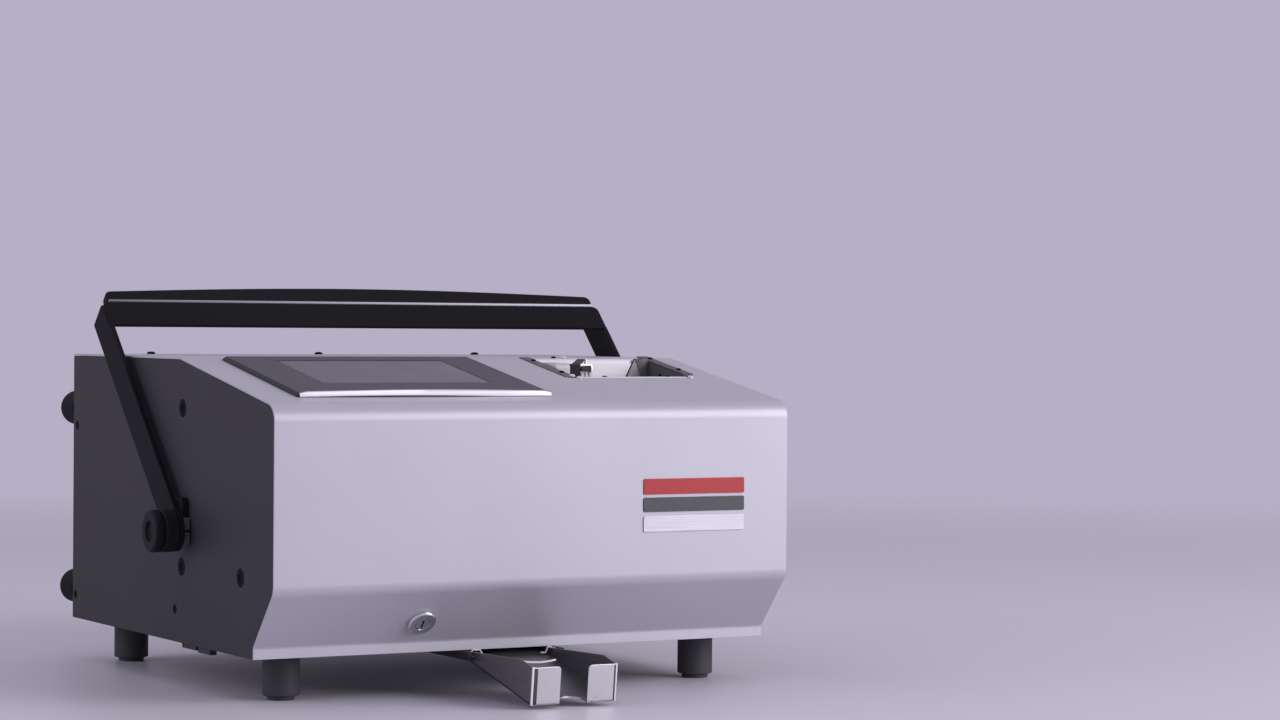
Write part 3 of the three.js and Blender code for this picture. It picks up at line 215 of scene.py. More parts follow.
def finished(name, mesh, material, smooth_degrees=35):
    """An object at the origin from a mesh already in place, smooth except along its sharp edges."""
    mesh.name = name
    mesh.materials.clear()
    mesh.materials.append(material)
    mesh.polygons.foreach_set("use_smooth", [True] * len(mesh.polygons))
    mesh.set_sharp_from_angle(angle=math.radians(smooth_degrees))
    piece = bpy.data.objects.new(name, mesh)
    bpy.context.scene.collection.objects.link(piece)
    modifier = piece.modifiers.new("flat_faces_stay_flat", "WEIGHTED_NORMAL")
    modifier.keep_sharp = True
    shaded = bpy.data.meshes.new_from_object(
        piece.evaluated_get(bpy.context.evaluated_depsgraph_get()))
    piece.modifiers.clear()
    piece.data = shaded
    shaded.name = name
    bpy.data.meshes.remove(mesh)
    return piece


def closed_mesh(shape):
    """A mesh from a bmesh whose doubles are merged and whose faces point outwards."""
    bmesh.ops.remove_doubles(shape, verts=shape.verts, dist=1e-7)
    bmesh.ops.recalc_face_normals(shape, faces=shape.faces)
    mesh = bpy.data.meshes.new("mesh")
    shape.to_mesh(mesh)
    shape.free()
    return mesh


def plate(outlines, thickness, edge, place):
    """A plate cut to its first outline, with the others as holes and its edges rounded a little."""
    curve = bpy.data.curves.new("outline", "CURVE")
    curve.dimensions, curve.fill_mode = "2D", "BOTH"
    curve.extrude = thickness / 2 - edge
    curve.bevel_depth, curve.bevel_resolution, curve.offset = edge, 1, -edge
    for outline in outlines:
        spline = curve.splines.new("POLY")
        spline.points.add(len(outline) - 1)
        for point, (u, v) in zip(spline.points, outline):
            point.co = (u, v, 0.0, 1.0)
        spline.use_cyclic_u = True
    holder = bpy.data.objects.new("outline", curve)
    bpy.context.scene.collection.objects.link(holder)
    bpy.context.view_layer.update()
    drawn = bpy.data.meshes.new_from_object(
        holder.evaluated_get(bpy.context.evaluated_depsgraph_get()))
    bpy.data.objects.remove(holder)
    shape = bmesh.new()
    shape.from_mesh(drawn)
    bmesh.ops.transform(shape, matrix=place, verts=shape.verts)
    return closed_mesh(shape)


def skinned(tree, shader, colour, wear, sheen, height, bump, depth, metallic, specular=0.5):
    """Gives a shader its colour, a roughness that follows the wear, and a relief in metres."""
    worn = new_node(tree, "ShaderNodeMapRange", {
        "Value": wear, "To Min": sheen[0], "To Max": sheen[1]})
    relief = new_node(tree, "ShaderNodeBump", {
        "Strength": bump, "Distance": depth, "Height": height})
    give(tree, shader, {
        "Base Color": colour, "Roughness": worn.outputs["Result"], "Metallic": metallic,
        "Specular IOR Level": specular, "Normal": relief.outputs["Normal"]})


def powder_coat(name, colour, lighter, roughness=0.5, metallic=0.0, grain_mm=0.55, bump=0.12,
                specular=0.5):
    """Baked powder paint: a fine pebbled skin with slightly lighter grains, in broad clouds."""
    grain_depth, cloud_scale, cloud_share, cloud_floor = grain_mm * 0.0002, 7.0, 0.35, 0.32
    sheen_spread, grain_span = 0.06, (0.35, 0.68)
    material, tree, shader, place = node_material(name)
    grain = noise(tree, place, 1.0 / (grain_mm * millimetre))
    clouds = new_node(tree, "ShaderNodeMath", {
        0: noise(tree, place, cloud_scale), 1: cloud_share, 2: cloud_floor},
        operation="MULTIPLY_ADD")
    clouded = new_node(tree, "ShaderNodeMath", {0: grain, 1: clouds.outputs[0]},
                       operation="MULTIPLY")
    share = new_node(tree, "ShaderNodeMath", {0: clouded.outputs[0], 1: 2.0},
                     operation="MULTIPLY")
    tone = tones(tree, share.outputs[0], colour, lighter, grain_span)
    skinned(tree, shader, tone, grain, (roughness - sheen_spread, roughness + sheen_spread), grain,
            bump, grain_depth, metallic, specular)
    return material


# Carries (u, v, w) to (y, z, x), so that an outline of (y, z) points stands as a side plate
side_on = Matrix(((0, 0, 1, 0), (1, 0, 0, 0), (0, 1, 0, 0), (0, 0, 0, 1)))
dark_coat = powder_coat("dark_powder_coat", panel_grey, panel_grey_light, roughness=0.55,
                        specular=0.25)
panel_outlines = [rounded(panel_line)]
for holes, bore in ((large_holes, large_bore), (small_holes, small_bore),
                    ([handle_pivot], stud_bore)):
    panel_outlines += [circle(hole, bore) for hole in holes]
for side, middle in (("left", panel_thickness / 2), ("right", casing_width - panel_thickness / 2)):
    panel = finished(f"{side}_panel", plate(panel_outlines, panel_thickness, panel_edge,
                                            casing_at(middle, 0, 0) @ side_on), dark_coat)
    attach(panel, "chassis")
    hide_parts(f"{side}_side_panel")

# Side-panel screws: black socket heads, M8 for the tie bars and M4 for the rear and base,
# each sunk in its counterbore with only the socket's hexagon to see.
large_head = {"radius": 7.25, "height": 8.0, "socket": 3.45, "sunk": 0.2, "bore": large_bore}
small_head = {"radius": 3.8, "height": 4.0, "socket": 1.73, "sunk": 0.2, "bore": small_bore}
bore_gap = 0.02


def lathe(profile, place, steps=64):
    """A form turned about the Z axis of its place, from a closed outline of (radius, height)."""
    shape = bmesh.new()
    rings = []
    for radius, height in profile:
        count = 1 if radius < 1e-6 else steps
        rings.append([shape.verts.new((radius * math.cos(2 * math.pi * i / steps),
                                       radius * math.sin(2 * math.pi * i / steps), height))
                      for i in range(count)])
    for ring, following in zip(rings, rings[1:] + rings[:1]):
        if len(ring) == 1 and len(following) == 1:
            continue
        for i in range(steps):
            corners = [ring[i % len(ring)], ring[(i + 1) % len(ring)],
                       following[(i + 1) % len(following)], following[i % len(following)]]
            unique = [v for n, v in enumerate(corners) if v not in corners[:n]]
            shape.faces.new(unique)
    bmesh.ops.transform(shape, matrix=place, verts=shape.verts)
    return closed_mesh(shape)


def socket_head(radius, height, socket, bore=None, dome=0.0):
    """A screw head up to a height on Z: a hexagonal socket and, in a bore, a seat that fills it."""
    rim = 0.08 * radius + 0.1
    shape = bmesh.new()
    outline = [(radius * 0.98, 0.0), (radius, rim * 0.5), (radius, height - rim - dome),
               (radius - rim * 0.3, height - rim * 0.3 - dome), (radius - rim, height - dome)]
    if bore:
        outline = [(bore, 0.0), (bore, 0.4), (radius * 0.98, 0.4)] + outline[1:]
    if dome:
        outline += [(socket + (radius - rim - socket) * f, height - dome * f * f)
                    for f in (0.75, 0.5, 0.25)]
    corner_reach, steps = socket * 1.155, 36
    rings = [[shape.verts.new((r * math.cos(2 * math.pi * i / steps),
                               r * math.sin(2 * math.pi * i / steps), h)) for i in range(steps)]
             for r, h in outline]
    for depth in (height, height - rim * 0.6, height - socket * 0.22):
        ring = []
        for i in range(steps):
            turn = 2 * math.pi * i / steps
            reach = corner_reach * math.cos(math.pi / 6)
            reach = reach / math.cos(turn % (math.pi / 3) - math.pi / 6)
            reach += 0.12 if depth == height else 0.0
            ring.append(shape.verts.new((reach * math.cos(turn), reach * math.sin(turn), depth)))
        rings.append(ring)
    for ring, following in zip(rings, rings[1:]):
        for i in range(steps):
            shape.faces.new((ring[i], ring[(i + 1) % steps],
                             following[(i + 1) % steps], following[i]))
    shape.faces.new(rings[-1])
    shape.faces.new(list(reversed(rings[0])))
    bmesh.ops.scale(shape, vec=(millimetre, millimetre, millimetre), verts=shape.verts)
    return closed_mesh(shape)


def repeated(name, form, places, material, seed=7, spin=True):
    """One mesh of a form on points: each place is a point in metres and the way it faces."""
    tree = bpy.data.node_groups.new(f"{name}_on_points", "GeometryNodeTree")
    for socket, kind in (("Points", "Geometry"), ("Form", "Object"), ("Finish", "Material"),
                         ("Spin Limit", "Float"), ("Seed", "Int")):
        tree.interface.new_socket(socket, in_out="INPUT", socket_type=f"NodeSocket{kind}")
    tree.interface.new_socket("Pieces", in_out="OUTPUT", socket_type="NodeSocketGeometry")
    given = new_node(tree, "NodeGroupInput").outputs
    shown = new_node(tree, "GeometryNodeObjectInfo", {"Object": given["Form"]})
    facing = new_node(tree, "GeometryNodeInputNamedAttribute", {"Name": "facing"},
                      data_type="FLOAT_VECTOR")
    aligned = new_node(tree, "FunctionNodeAlignRotationToVector",
                       {"Vector": facing.outputs["Attribute"]}, axis="Z")
    placed = new_node(tree, "GeometryNodeInstanceOnPoints", {
        "Points": given["Points"], "Instance": shown.outputs["Geometry"],
        "Rotation": aligned.outputs["Rotation"]})
    chance = new_node(tree, "FunctionNodeRandomValue",
                      {"Max": given["Spin Limit"], "Seed": given["Seed"]}, data_type="FLOAT")
    about = new_node(tree, "ShaderNodeCombineXYZ", {"Z": chance.outputs["Value"]})
    spun = new_node(tree, "GeometryNodeRotateInstances", {
        "Instances": placed.outputs["Instances"], "Rotation": about.outputs["Vector"]})
    real = new_node(tree, "GeometryNodeRealizeInstances", {"Geometry": spun.outputs["Instances"]})
    coloured = new_node(tree, "GeometryNodeSetMaterial", {
        "Geometry": real.outputs["Geometry"], "Material": given["Finish"]})
    new_node(tree, "NodeGroupOutput", {"Pieces": coloured.outputs["Geometry"]})

    points = bpy.data.meshes.new("points")
    points.from_pydata([tuple(point) for point, _ in places], [], [])
    direction = points.attributes.new("facing", "FLOAT_VECTOR", "POINT")
    for held, (_, way) in zip(direction.data, places):
        held.vector = way
    holder = bpy.data.objects.new("points", points)
    shown_form = bpy.data.objects.new("form", form)
    for made in (holder, shown_form):
        bpy.context.scene.collection.objects.link(made)
    modifier = holder.modifiers.new("on_points", "NODES")
    modifier.node_group = tree
    values = {"Form": shown_form, "Finish": material, "Spin Limit": 2 * math.pi if spin else 0.0,
              "Seed": seed}
    for item in tree.interface.items_tree:
        if item.in_out == "INPUT" and item.name in values:
            modifier[item.identifier] = values[item.name]
    mesh = bpy.data.meshes.new_from_object(
        holder.evaluated_get(bpy.context.evaluated_depsgraph_get()))
    for made in (holder, shown_form):
        bpy.data.objects.remove(made)
    if "facing" in mesh.attributes:
        mesh.attributes.remove(mesh.attributes["facing"])
    return finished(name, mesh, material)


black_oxide = powder_coat("black_oxide", (0.0092, 0.0085, 0.0102), (0.015, 0.0138, 0.0166),
                          roughness=0.55, grain_mm=0.3, bump=0.05, specular=0.03)


def in_side_panels(holes, head):
    """Where the heads stand in both panels' counterbores, facing out."""
    depth = head["sunk"] + head["height"]
    return [(on_casing @ Vector((x, y, z)), way) for y, z in holes
            for x, way in ((depth, (-1, 0, 0)), (casing_width - depth, (1, 0, 0)))]


for name, holes, head in (("tie_bar_screws", large_holes, large_head),
                          ("panel_screws", small_holes, small_head)):
    form = socket_head(head["radius"], head["height"], head["socket"], head["bore"] - bore_gap)
    screws = repeated(name, form, in_side_panels(holes, head), black_oxide)
    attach(screws, "chassis")

# Tie bars: three turned steel bars between the panels, drilled and tapped at their ends.
tie_bars = dict(zip(("top_tie_bar", "rear_tie_bar", "front_tie_bar"), large_holes))
bar_radius, bar_chamfer = 10.0, 0.6
bar_ends = (panel_thickness, casing_width - panel_thickness)


def turned_metal(name, colour, along=(1.0, 0.0, 0.0), roughness=0.3, metallic=1.0, lines=900.0,
                 bump=0.06):
    """Machined or brushed metal: fine lines that run along one direction, and faint wear."""
    line_stretch, line_detail, line_depth, wear_scale = 0.012, 4.0, 0.0001, 22.0
    darkest, lightest, line_span = 0.82, 1.06, (0.3, 0.7)
    material, tree, shader, place = node_material(name)
    stretch = new_node(tree, "ShaderNodeMapping", {
        "Vector": place, "Scale": [lines * (line_stretch if part else 1.0) for part in along]})
    fine = noise(tree, stretch.outputs["Vector"], 1.0, line_detail)
    tone = tones(tree, fine, [part * darkest for part in colour],
                 [min(1.0, part * lightest) for part in colour], line_span)
    skinned(tree, shader, tone, noise(tree, place, wear_scale),
            (max(0.04, roughness - 0.1), roughness + 0.12), fine, bump, line_depth, metallic)
    return material


turned_steel = turned_metal("turned_steel", (0.42, 0.41, 0.44), along=(0, 1, 1), roughness=0.3)
bar_outline = [(0, bar_ends[0]), (bar_radius - bar_chamfer, bar_ends[0]),
               (bar_radius, bar_ends[0] + bar_chamfer), (bar_radius, bar_ends[1] - bar_chamfer),
               (bar_radius - bar_chamfer, bar_ends[1]), (0, bar_ends[1])]
for node, (y, z) in tie_bars.items():
    place = casing_at(0, y, z) @ Matrix.Rotation(math.pi / 2, 4, "Y")
    rod = finished(f"{node}_rod", lathe(bar_outline, place), turned_steel)
    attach(rod, "chassis")
    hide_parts(node)

# Hood: one folded 1.5 mm sheet in silver powder coat that makes the top, slope, front, chamfer
# and lip. The display and hopper openings and the lock hole are cut before it is folded.
sheet, hood_edge = 1.5, 0.35
slope_angle = math.atan2(casing_top - slope_foot[1], slope_rear[0])
chamfer_angle = math.atan2(chamfer_foot[0], chamfer_top[1] - chamfer_foot[1])
on_slope = casing_at(0, *slope_foot) @ Matrix.Rotation(slope_angle, 4, "X")
on_chamfer = casing_at(0, *chamfer_top) @ Matrix.Rotation(chamfer_angle, 4, "X")
display_cut = {"x": (45, 249), "s": (50, 176.5), "corner": 3}
mouth_cut = {"x": (318, 439), "s": (111, 197), "corner": 4}
mouth_flange_x, mouth_flange_drop, mouth_flange_edge = (330, 427), 20, 0.3
lock_at, lock_bore = (139.4, 37.8), 9.3
silver, silver_light = (0.49, 0.475, 0.545), (0.56, 0.545, 0.615)


def rounded_box(x, y, radius, steps=10):
    """A rectangle's outline with round corners."""
    return rounded([(x[0], y[0], radius), (x[1], y[0], radius), (x[1], y[1], radius),
                    (x[0], y[1], radius)], steps)


def fold_line(corners, margin=0.5):
    """The open line of a fold, with a point just before and after each bend for its shading."""
    bends = rounded([(y, z, r) for y, z, r in corners])
    line = []
    for i, point in enumerate(bends):
        here = Vector(point)
        for other in (bends[i - 1] if i else None, bends[i + 1] if i + 1 < len(bends) else None):
            if other is None or (Vector(other) - here).length < 4 * margin:
                continue
            near = here + (Vector(other) - here).normalized() * margin
            if other == bends[i - 1]:
                line.append(tuple(near))
            else:
                line.extend([tuple(here), tuple(near)])
                here = None
                break
        if here is not None:
            line.append(tuple(here))
    return [Vector(p) for p in line]


def folded_sheet(line, width, thickness, holes, edge, place):
    """A sheet folded along a line of (y, z) points, with holes given as outlines of (x, y, z)."""
    lengths = [0.0]
    for a, b in zip(line, line[1:]):
        lengths.append(lengths[-1] + (b - a).length)
    inner = []
    for i, point in enumerate(line):
        before = (point - line[max(i - 1, 0)]).normalized() if i else None
        after = None
        if i + 1 < len(line):
            after = (line[i + 1] - point).normalized()
        along = ((before or after) + (after or before)).normalized()
        turn = along.dot(after or before)
        inner.append(point + Vector((-along.y, along.x)) * thickness / max(turn, 0.5))

    def unrolled(y, z):
        """How far along the unfolded sheet a point of its line lies."""
        best = None
        for i, (a, b) in enumerate(zip(line, line[1:])):
            share = min(max((Vector((y, z)) - a).dot(b - a) / (b - a).length_squared, 0.0), 1.0)
            away = (a + (b - a) * share - Vector((y, z))).length
            if best is None or away < best[0]:
                best = (away, lengths[i] + (b - a).length * share)
        return best[1]

    flat = [Vector((x, s)) for s in lengths for x in (0.0, width)]
    edges = [(2 * i, 2 * i + 1) for i in range(len(lengths))]
    edges += [(2 * i + side, 2 * i + 2 + side) for i in range(len(lengths) - 1) for side in (0, 1)]
    rings = []
    for hole in holes:
        ring = [Vector((x, unrolled(y, z))) for x, y, z in hole]
        edges += [(len(flat) + i, len(flat) + (i + 1) % len(ring)) for i in range(len(ring))]
        flat += ring
        rings.append(ring)
    points, _, triangles, *_ = delaunay_2d_cdt(flat, edges, [], 0, 1e-5)

    def inside(point, ring):
        """Whether a point of the flat sheet falls in a hole."""
        crossings = 0
        for a, b in zip(ring, ring[1:] + ring[:1]):
            if (a.y > point.y) != (b.y > point.y):
                crossings += point.x < a.x + (point.y - a.y) / (b.y - a.y) * (b.x - a.x)
        return crossings % 2 == 1

    kept = [t for t in triangles if not any(
        inside((points[t[0]] + points[t[1]] + points[t[2]]) / 3, ring) for ring in rings)]
    shape = bmesh.new()
    layers = []
    for side in (line, inner):
        layer = []
        for x, s in points:
            i = max(n for n in range(len(lengths) - 1) if lengths[n] <= s + 1e-6 or n == 0)
            share = (s - lengths[i]) / (lengths[i + 1] - lengths[i])
            y, z = side[i].lerp(side[i + 1], min(max(share, 0.0), 1.0))
            layer.append(shape.verts.new((x, y, z)))
        layers.append(layer)
    counts = {}
    for t in kept:
        shape.faces.new([layers[0][i] for i in t])
        shape.faces.new([layers[1][i] for i in reversed(t)])
        for a, b in zip(t, t[1:] + t[:1]):
            counts.setdefault(frozenset((a, b)), []).append((a, b))
    for pair in counts.values():
        if len(pair) == 1:
            a, b = pair[0]
            shape.faces.new((layers[0][b], layers[0][a], layers[1][a], layers[1][b]))
    bmesh.ops.delete(shape, geom=[v for v in shape.verts if not v.link_faces], context="VERTS")
    bmesh.ops.recalc_face_normals(shape, faces=shape.faces)
    bmesh.ops.dissolve_limit(shape, angle_limit=math.radians(0.2), verts=shape.verts,
                             edges=shape.edges, delimit=set())
    corners = [e for e in shape.edges if len(e.link_faces) == 2 and
               e.calc_face_angle(0.0) > math.radians(60)]
    bmesh.ops.bevel(shape, geom=corners, offset=edge, segments=2, profile=0.5, affect="EDGES",
                    clamp_overlap=False)
    bmesh.ops.transform(shape, matrix=place, verts=shape.verts)
    return closed_mesh(shape)


def on_plane(outline, place):
    """An outline of (x, y) points of a turned plane, as (x, y, z) points of the casing."""
    back = on_casing.inverted() @ place
    return [tuple(back @ Vector((x, y, 0))) for x, y in outline]


def eased_block(low, high, edge, place=on_casing, steps=2):
    """A block between two corners with its edges rounded off."""
    shape = bmesh.new()
    middle = (Vector(low) + Vector(high)) / 2
    size = Vector(high) - Vector(low)
    bmesh.ops.create_cube(shape, size=1.0, matrix=Matrix.Translation(middle) @
                          Matrix.Diagonal((*size, 1.0)))
    bmesh.ops.bevel(shape, geom=shape.edges[:], offset=edge, segments=steps, profile=0.5,
                    affect="EDGES")
    bmesh.ops.transform(shape, matrix=place, verts=shape.verts)
    return closed_mesh(shape)


def together(*meshes):
    """Several meshes as one."""
    shape = bmesh.new()
    for mesh in meshes:
        shape.from_mesh(mesh)
        bpy.data.meshes.remove(mesh)
    joined = bpy.data.meshes.new("mesh")
    shape.to_mesh(joined)
    shape.free()
    return joined


silver_coat = powder_coat("silver_powder_coat", silver, silver_light, roughness=0.42,
                          metallic=0.25, grain_mm=0.5, bump=0.1, specular=0.3)
hood_holes = [on_plane(rounded_box(cut["x"], cut["s"], cut["corner"]), on_slope)
              for cut in (display_cut, mouth_cut)]
hood_holes.append([tuple(on_casing.inverted() @ on_chamfer @ Vector((u, 0, v)))
                   for u, v in circle((lock_at[0], -lock_at[1]), lock_bore)])
mouth_rear_s = mouth_cut["s"][1]
mouth_flange = eased_block(
    (mouth_flange_x[0], mouth_rear_s - sheet / 2, -mouth_flange_drop),
    (mouth_flange_x[1], mouth_rear_s + sheet / 2, -sheet / 2), mouth_flange_edge, on_slope)
hood = finished("hood_sheet", together(
    folded_sheet(fold_line(casing_line), casing_width, sheet, hood_holes, hood_edge, on_casing),
    mouth_flange), silver_coat)
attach(hood, "hood")
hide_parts("hood_shell")

# Hood screws: three black button heads along the rear of the top, driven into a tapped strip.
top_screws_x, top_screws_y = (70, 235, 397), 443
top_button = {"radius": 3.8, "height": 2.2, "socket": 1.3, "dome": 0.9}
top_screws = [(on_casing @ Vector((x, top_screws_y, casing_top)), (0, 0, 1)) for x in top_screws_x]
screws = repeated("hood_screws", socket_head(**top_button), top_screws, black_oxide)
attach(screws, "hood")

# Rear strip: a flat tapped steel strip spot-welded under the hood's rear edge.
rear_strip_edge = 0.35


def softened(node, name, material, edge, slot, body="chassis"):
    """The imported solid's own shape as a finished piece: flat faces cleaned, edges rounded."""
    shape = bmesh.new()
    shape.from_mesh(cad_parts[node].data)
    bmesh.ops.remove_doubles(shape, verts=shape.verts, dist=1e-6)
    bmesh.ops.dissolve_limit(shape, angle_limit=math.radians(0.5), verts=shape.verts,
                             edges=shape.edges, delimit=set())
    sharp = [e for e in shape.edges if len(e.link_faces) == 2 and
             e.calc_face_angle(0.0) > math.radians(32)]
    bmesh.ops.bevel(shape, geom=sharp, offset=edge * millimetre, segments=2, profile=0.5,
                    affect="EDGES", clamp_overlap=True)
    piece = finished(name, closed_mesh(shape), material)
    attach(piece, body)
    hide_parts(node)
    return piece


softened("hood_rear_strip", "rear_edge_strip", turned_steel, rear_strip_edge, "steel", "hood")

# Rear panel: a 2 mm steel sheet with folded flanges, in the side panels' dark coat. It is cut
# for the fan and the mains inlet, and four screws hold the fan to it.
rear_sheet, rear_edge, rear_flange = 2.0, 0.3, 18.0
rear_x, rear_low, rear_high = (10.3, casing_width - 10.3), 40.5, 268.2
fan_at, fan_size, fan_bore, fan_depth, fan_hole_pitch = (370.0, 150.0), 80.0, 38.0, 25.0, 71.5
inlet_at, inlet_body, inlet_gap = (110.0, 90.0), (27.0, 47.0), 0.3
fan_screw = {"radius": 3.4, "height": 1.9, "socket": 1.2, "dome": 0.7}
# Carries (u, v, w) to (x, z, y), so that an outline of (x, z) points stands as a rear plate
back_on = Matrix(((1, 0, 0, 0), (0, 0, 1, 0), (0, 1, 0, 0), (0, 0, 0, 1)))
fan_holes = [(fan_at[0] + a * fan_hole_pitch / 2, fan_at[1] + b * fan_hole_pitch / 2)
             for a in (-1, 1) for b in (-1, 1)]
inlet_hole = [[middle + side * (size / 2 + inlet_gap) for side in (-1, 1)]
              for middle, size in zip(inlet_at, inlet_body)]
rear_y = (rear_face - rear_flange, rear_face - rear_sheet / 2)
rear_panel = finished("rear_cover", together(
    plate([rounded_box(rear_x, (rear_low, rear_high), 1.0, 4), circle(fan_at, fan_bore, 64),
           rounded_box(*inlet_hole, 1.0, 4)],
          rear_sheet, rear_edge, casing_at(0, rear_y[1], 0) @ back_on),
    eased_block((rear_x[0], rear_y[0], rear_high - rear_sheet), (rear_x[1], rear_y[1], rear_high),
                rear_edge),
    *[eased_block((x, rear_y[0], rear_low), (x + rear_sheet, rear_y[1], rear_high), rear_edge)
      for x in (rear_x[0], rear_x[1] - rear_sheet)]), dark_coat)
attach(rear_panel, "chassis")
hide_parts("rear_panel")
fan_screws = repeated("fan_screws", socket_head(**fan_screw), [
    (on_casing @ Vector((x, rear_face, z)), (0, 1, 0)) for x, z in fan_holes], black_oxide)
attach(fan_screws, "chassis")

# Cooling fan: a moulded frame with four spokes, a rotor with seven twisted blades, and a
# chromed wire guard over its outlet.
hub_radius, hub_depth, rotor_depth, rotor_gap = 16.0, 5.0, 14.0, 0.3
fan_corner, fan_edge, fan_screw_bore = 5.0, 0.5, 2.2
spoke_reach, spoke_half, spoke_sunk = (hub_radius - 2, fan_bore + 1), 2.5, 0.5
blade_count, blade_chord, blade_thickness, blade_bow = 7, 15.0, 1.4, 1.6
blade_root, blade_tip, root_pitch, pitch_lost = hub_radius - 1.0, fan_bore - 1.6, 49.0, 22.0
guard_rings, guard_wire, guard_off, guard_foot = (12.0, 19.0, 26.0, 33.0), 0.8, 2.2, 0.7
black_plastic = powder_coat("moulded_black_plastic", (0.012, 0.012, 0.013), (0.022, 0.022, 0.024),
                            roughness=0.42, grain_mm=0.25, bump=0.06)
chrome = turned_metal("polished_chrome", (0.78, 0.78, 0.8), along=(1, 0, 0), roughness=0.14,
                      lines=600, bump=0.01)
rearward = Matrix.Rotation(-math.pi / 2, 4, "X")
fan_rear = rear_face - rear_sheet
fan_place = casing_at(fan_at[0], 0, fan_at[1])
fan_side = (-fan_size / 2, fan_size / 2)
fan_body = finished("fan_housing", together(
    plate([rounded_box(fan_side, fan_side, fan_corner, 6), circle((0, 0), fan_bore, 64)] +
          [circle((x - fan_at[0], z - fan_at[1]), fan_screw_bore, 16) for x, z in fan_holes],
          fan_depth, fan_edge,
          fan_place @ Matrix.Translation((0, fan_rear - fan_depth / 2, 0)) @ back_on),
    lathe(rounded([(0, -hub_depth, 0), (hub_radius, -hub_depth, 0.6), (hub_radius, 0, 0.6),
                   (0, 0, 0)], 4), fan_place @ Matrix.Translation((0, fan_rear, 0)) @ rearward),
    *[eased_block((spoke_reach[0], fan_rear - hub_depth, -spoke_half),
                  (spoke_reach[1], fan_rear - spoke_sunk, spoke_half), fan_edge,
                  fan_place @ Matrix.Rotation(math.pi / 2 * i, 4, "Y")) for i in range(4)]),
    black_plastic)
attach(fan_body, "chassis")
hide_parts("fan_frame")


def lofted(rows, place=on_casing, closed=False):
    """A skin over rows of points, which closes into a ring or is capped at its ends."""
    shape = bmesh.new()
    rows = [[shape.verts.new(point) for point in row] for row in rows]
    for a, b in zip(rows, rows[1:] + (rows[:1] if closed else [])):
        for n in range(len(a)):
            shape.faces.new((a[n], a[(n + 1) % len(a)], b[(n + 1) % len(a)], b[n]))
    if not closed:
        shape.faces.new(rows[0])
        shape.faces.new(list(reversed(rows[-1])))
    bmesh.ops.transform(shape, matrix=place, verts=shape.verts)
    return closed_mesh(shape)


def fan_blade(number, place, steps=8, points=7):
    """One blade of the rotor, which twists from its root to its tip."""
    turn = Matrix.Rotation(2 * math.pi * number / blade_count, 4, "Y")
    rows = []
    for step in range(steps + 1):
        radius = blade_root + (blade_tip - blade_root) * step / steps
        twist = math.radians(root_pitch - pitch_lost * step / steps)
        row = []
        for face, order in ((-1, range(points)), (1, reversed(range(points)))):
            for n in order:
                across = 2 * n / (points - 1) - 1
                along = across / 2 * blade_chord * (0.85 + 0.25 * step / steps)
                lift = blade_bow * (1 - across ** 2)
                lift += face * blade_thickness / 2 * (1 - across ** 4 * 0.7)
                row.append(turn @ Vector((
                    radius, along * math.sin(twist) + lift * math.cos(twist),
                    along * math.cos(twist) - lift * math.sin(twist))))
        rows.append(row)
    return lofted(rows, place)


rotor_place = casing_at(fan_at[0], fan_rear - hub_depth - rotor_gap - rotor_depth / 2, fan_at[1])
rotor_hub = lathe(rounded([(0, -rotor_depth / 2, 0), (hub_radius, -rotor_depth / 2, 1.5),
                           (hub_radius, rotor_depth / 2, 1.0), (0, rotor_depth / 2, 0)], 5),
                  rotor_place @ rearward)
rotor = finished("fan_blades", together(
    *[fan_blade(i, rotor_place) for i in range(blade_count)], rotor_hub), black_plastic)
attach(rotor, "fan")
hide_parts("fan_rotor")


def wire(points, radius, place=on_casing, closed=False, sides=10):
    """A round wire along a line of points."""
    rings = []
    for i, point in enumerate(points):
        after = points[(i + 1) % len(points)] if closed or i + 1 < len(points) else point
        before = points[i - 1] if closed or i else point
        along = (Vector(after) - Vector(before)).normalized()
        side = along.cross(Vector((0, 1, 0)) if abs(along.y) < 0.9 else Vector((1, 0, 0)))
        side.normalize()
        other = side.cross(along)
        rings.append([Vector(point) + radius * (side * u + other * v)
                      for u, v in circle((0, 0), 1.0, sides)])
    return lofted(rings, place, closed)


guard_wires = [wire([(x, rear_face + guard_off, z) for x, z in circle((0, 0), radius, 56)],
                    guard_wire, fan_place, closed=True) for radius in guard_rings]
for way in (1, -1):
    x, z = fan_hole_pitch / 2, way * fan_hole_pitch / 2
    line = [(share * x, rear_face + guard_off - guard_wire * 1.6, share * z)
            for share in (-0.76, -0.4, 0.0, 0.4, 0.76)]
    guard_wires.append(wire([(-x, rear_face + guard_foot, -z)] + line +
                            [(x, rear_face + guard_foot, z)], guard_wire, fan_place))
guard = finished("fan_guard", together(*guard_wires), chrome)
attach(guard, "chassis")

# Mains inlet: a moulded socket with three flat pins, and a rocker switch over it marked with
# the usual line and ring for on and off.
pin_places, pin_half, pin_depths = ((-7.0, -2.2), (0.0, 2.6), (7.0, -2.2)), (1.0, 2.0), (18.4, 5.0)
socket_drop, socket_face = 11.0, rear_face + 2.5
rocker_rise, rocker_sunk, rocker_turn = 12.5, 1.5, math.radians(9.0)
mark_out, mark_reach, ring_radii, line_half = 2.5, 3.6, (1.9, 1.3), (0.35, 2.0)
softened("power_inlet", "inlet_body", black_plastic, 0.5, "black_plastic")
pins = finished("inlet_pins", together(*[eased_block(
    (inlet_at[0] + x - pin_half[0], socket_face - pin_depths[0],
     inlet_at[1] - socket_drop + z - pin_half[1]),
    (inlet_at[0] + x + pin_half[0], socket_face - pin_depths[1],
     inlet_at[1] - socket_drop + z + pin_half[1]), 0.4) for x, z in pin_places]), chrome)
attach(pins, "chassis")
softened("power_switch", "rocker", black_plastic, 0.3, "black_plastic", "switch")
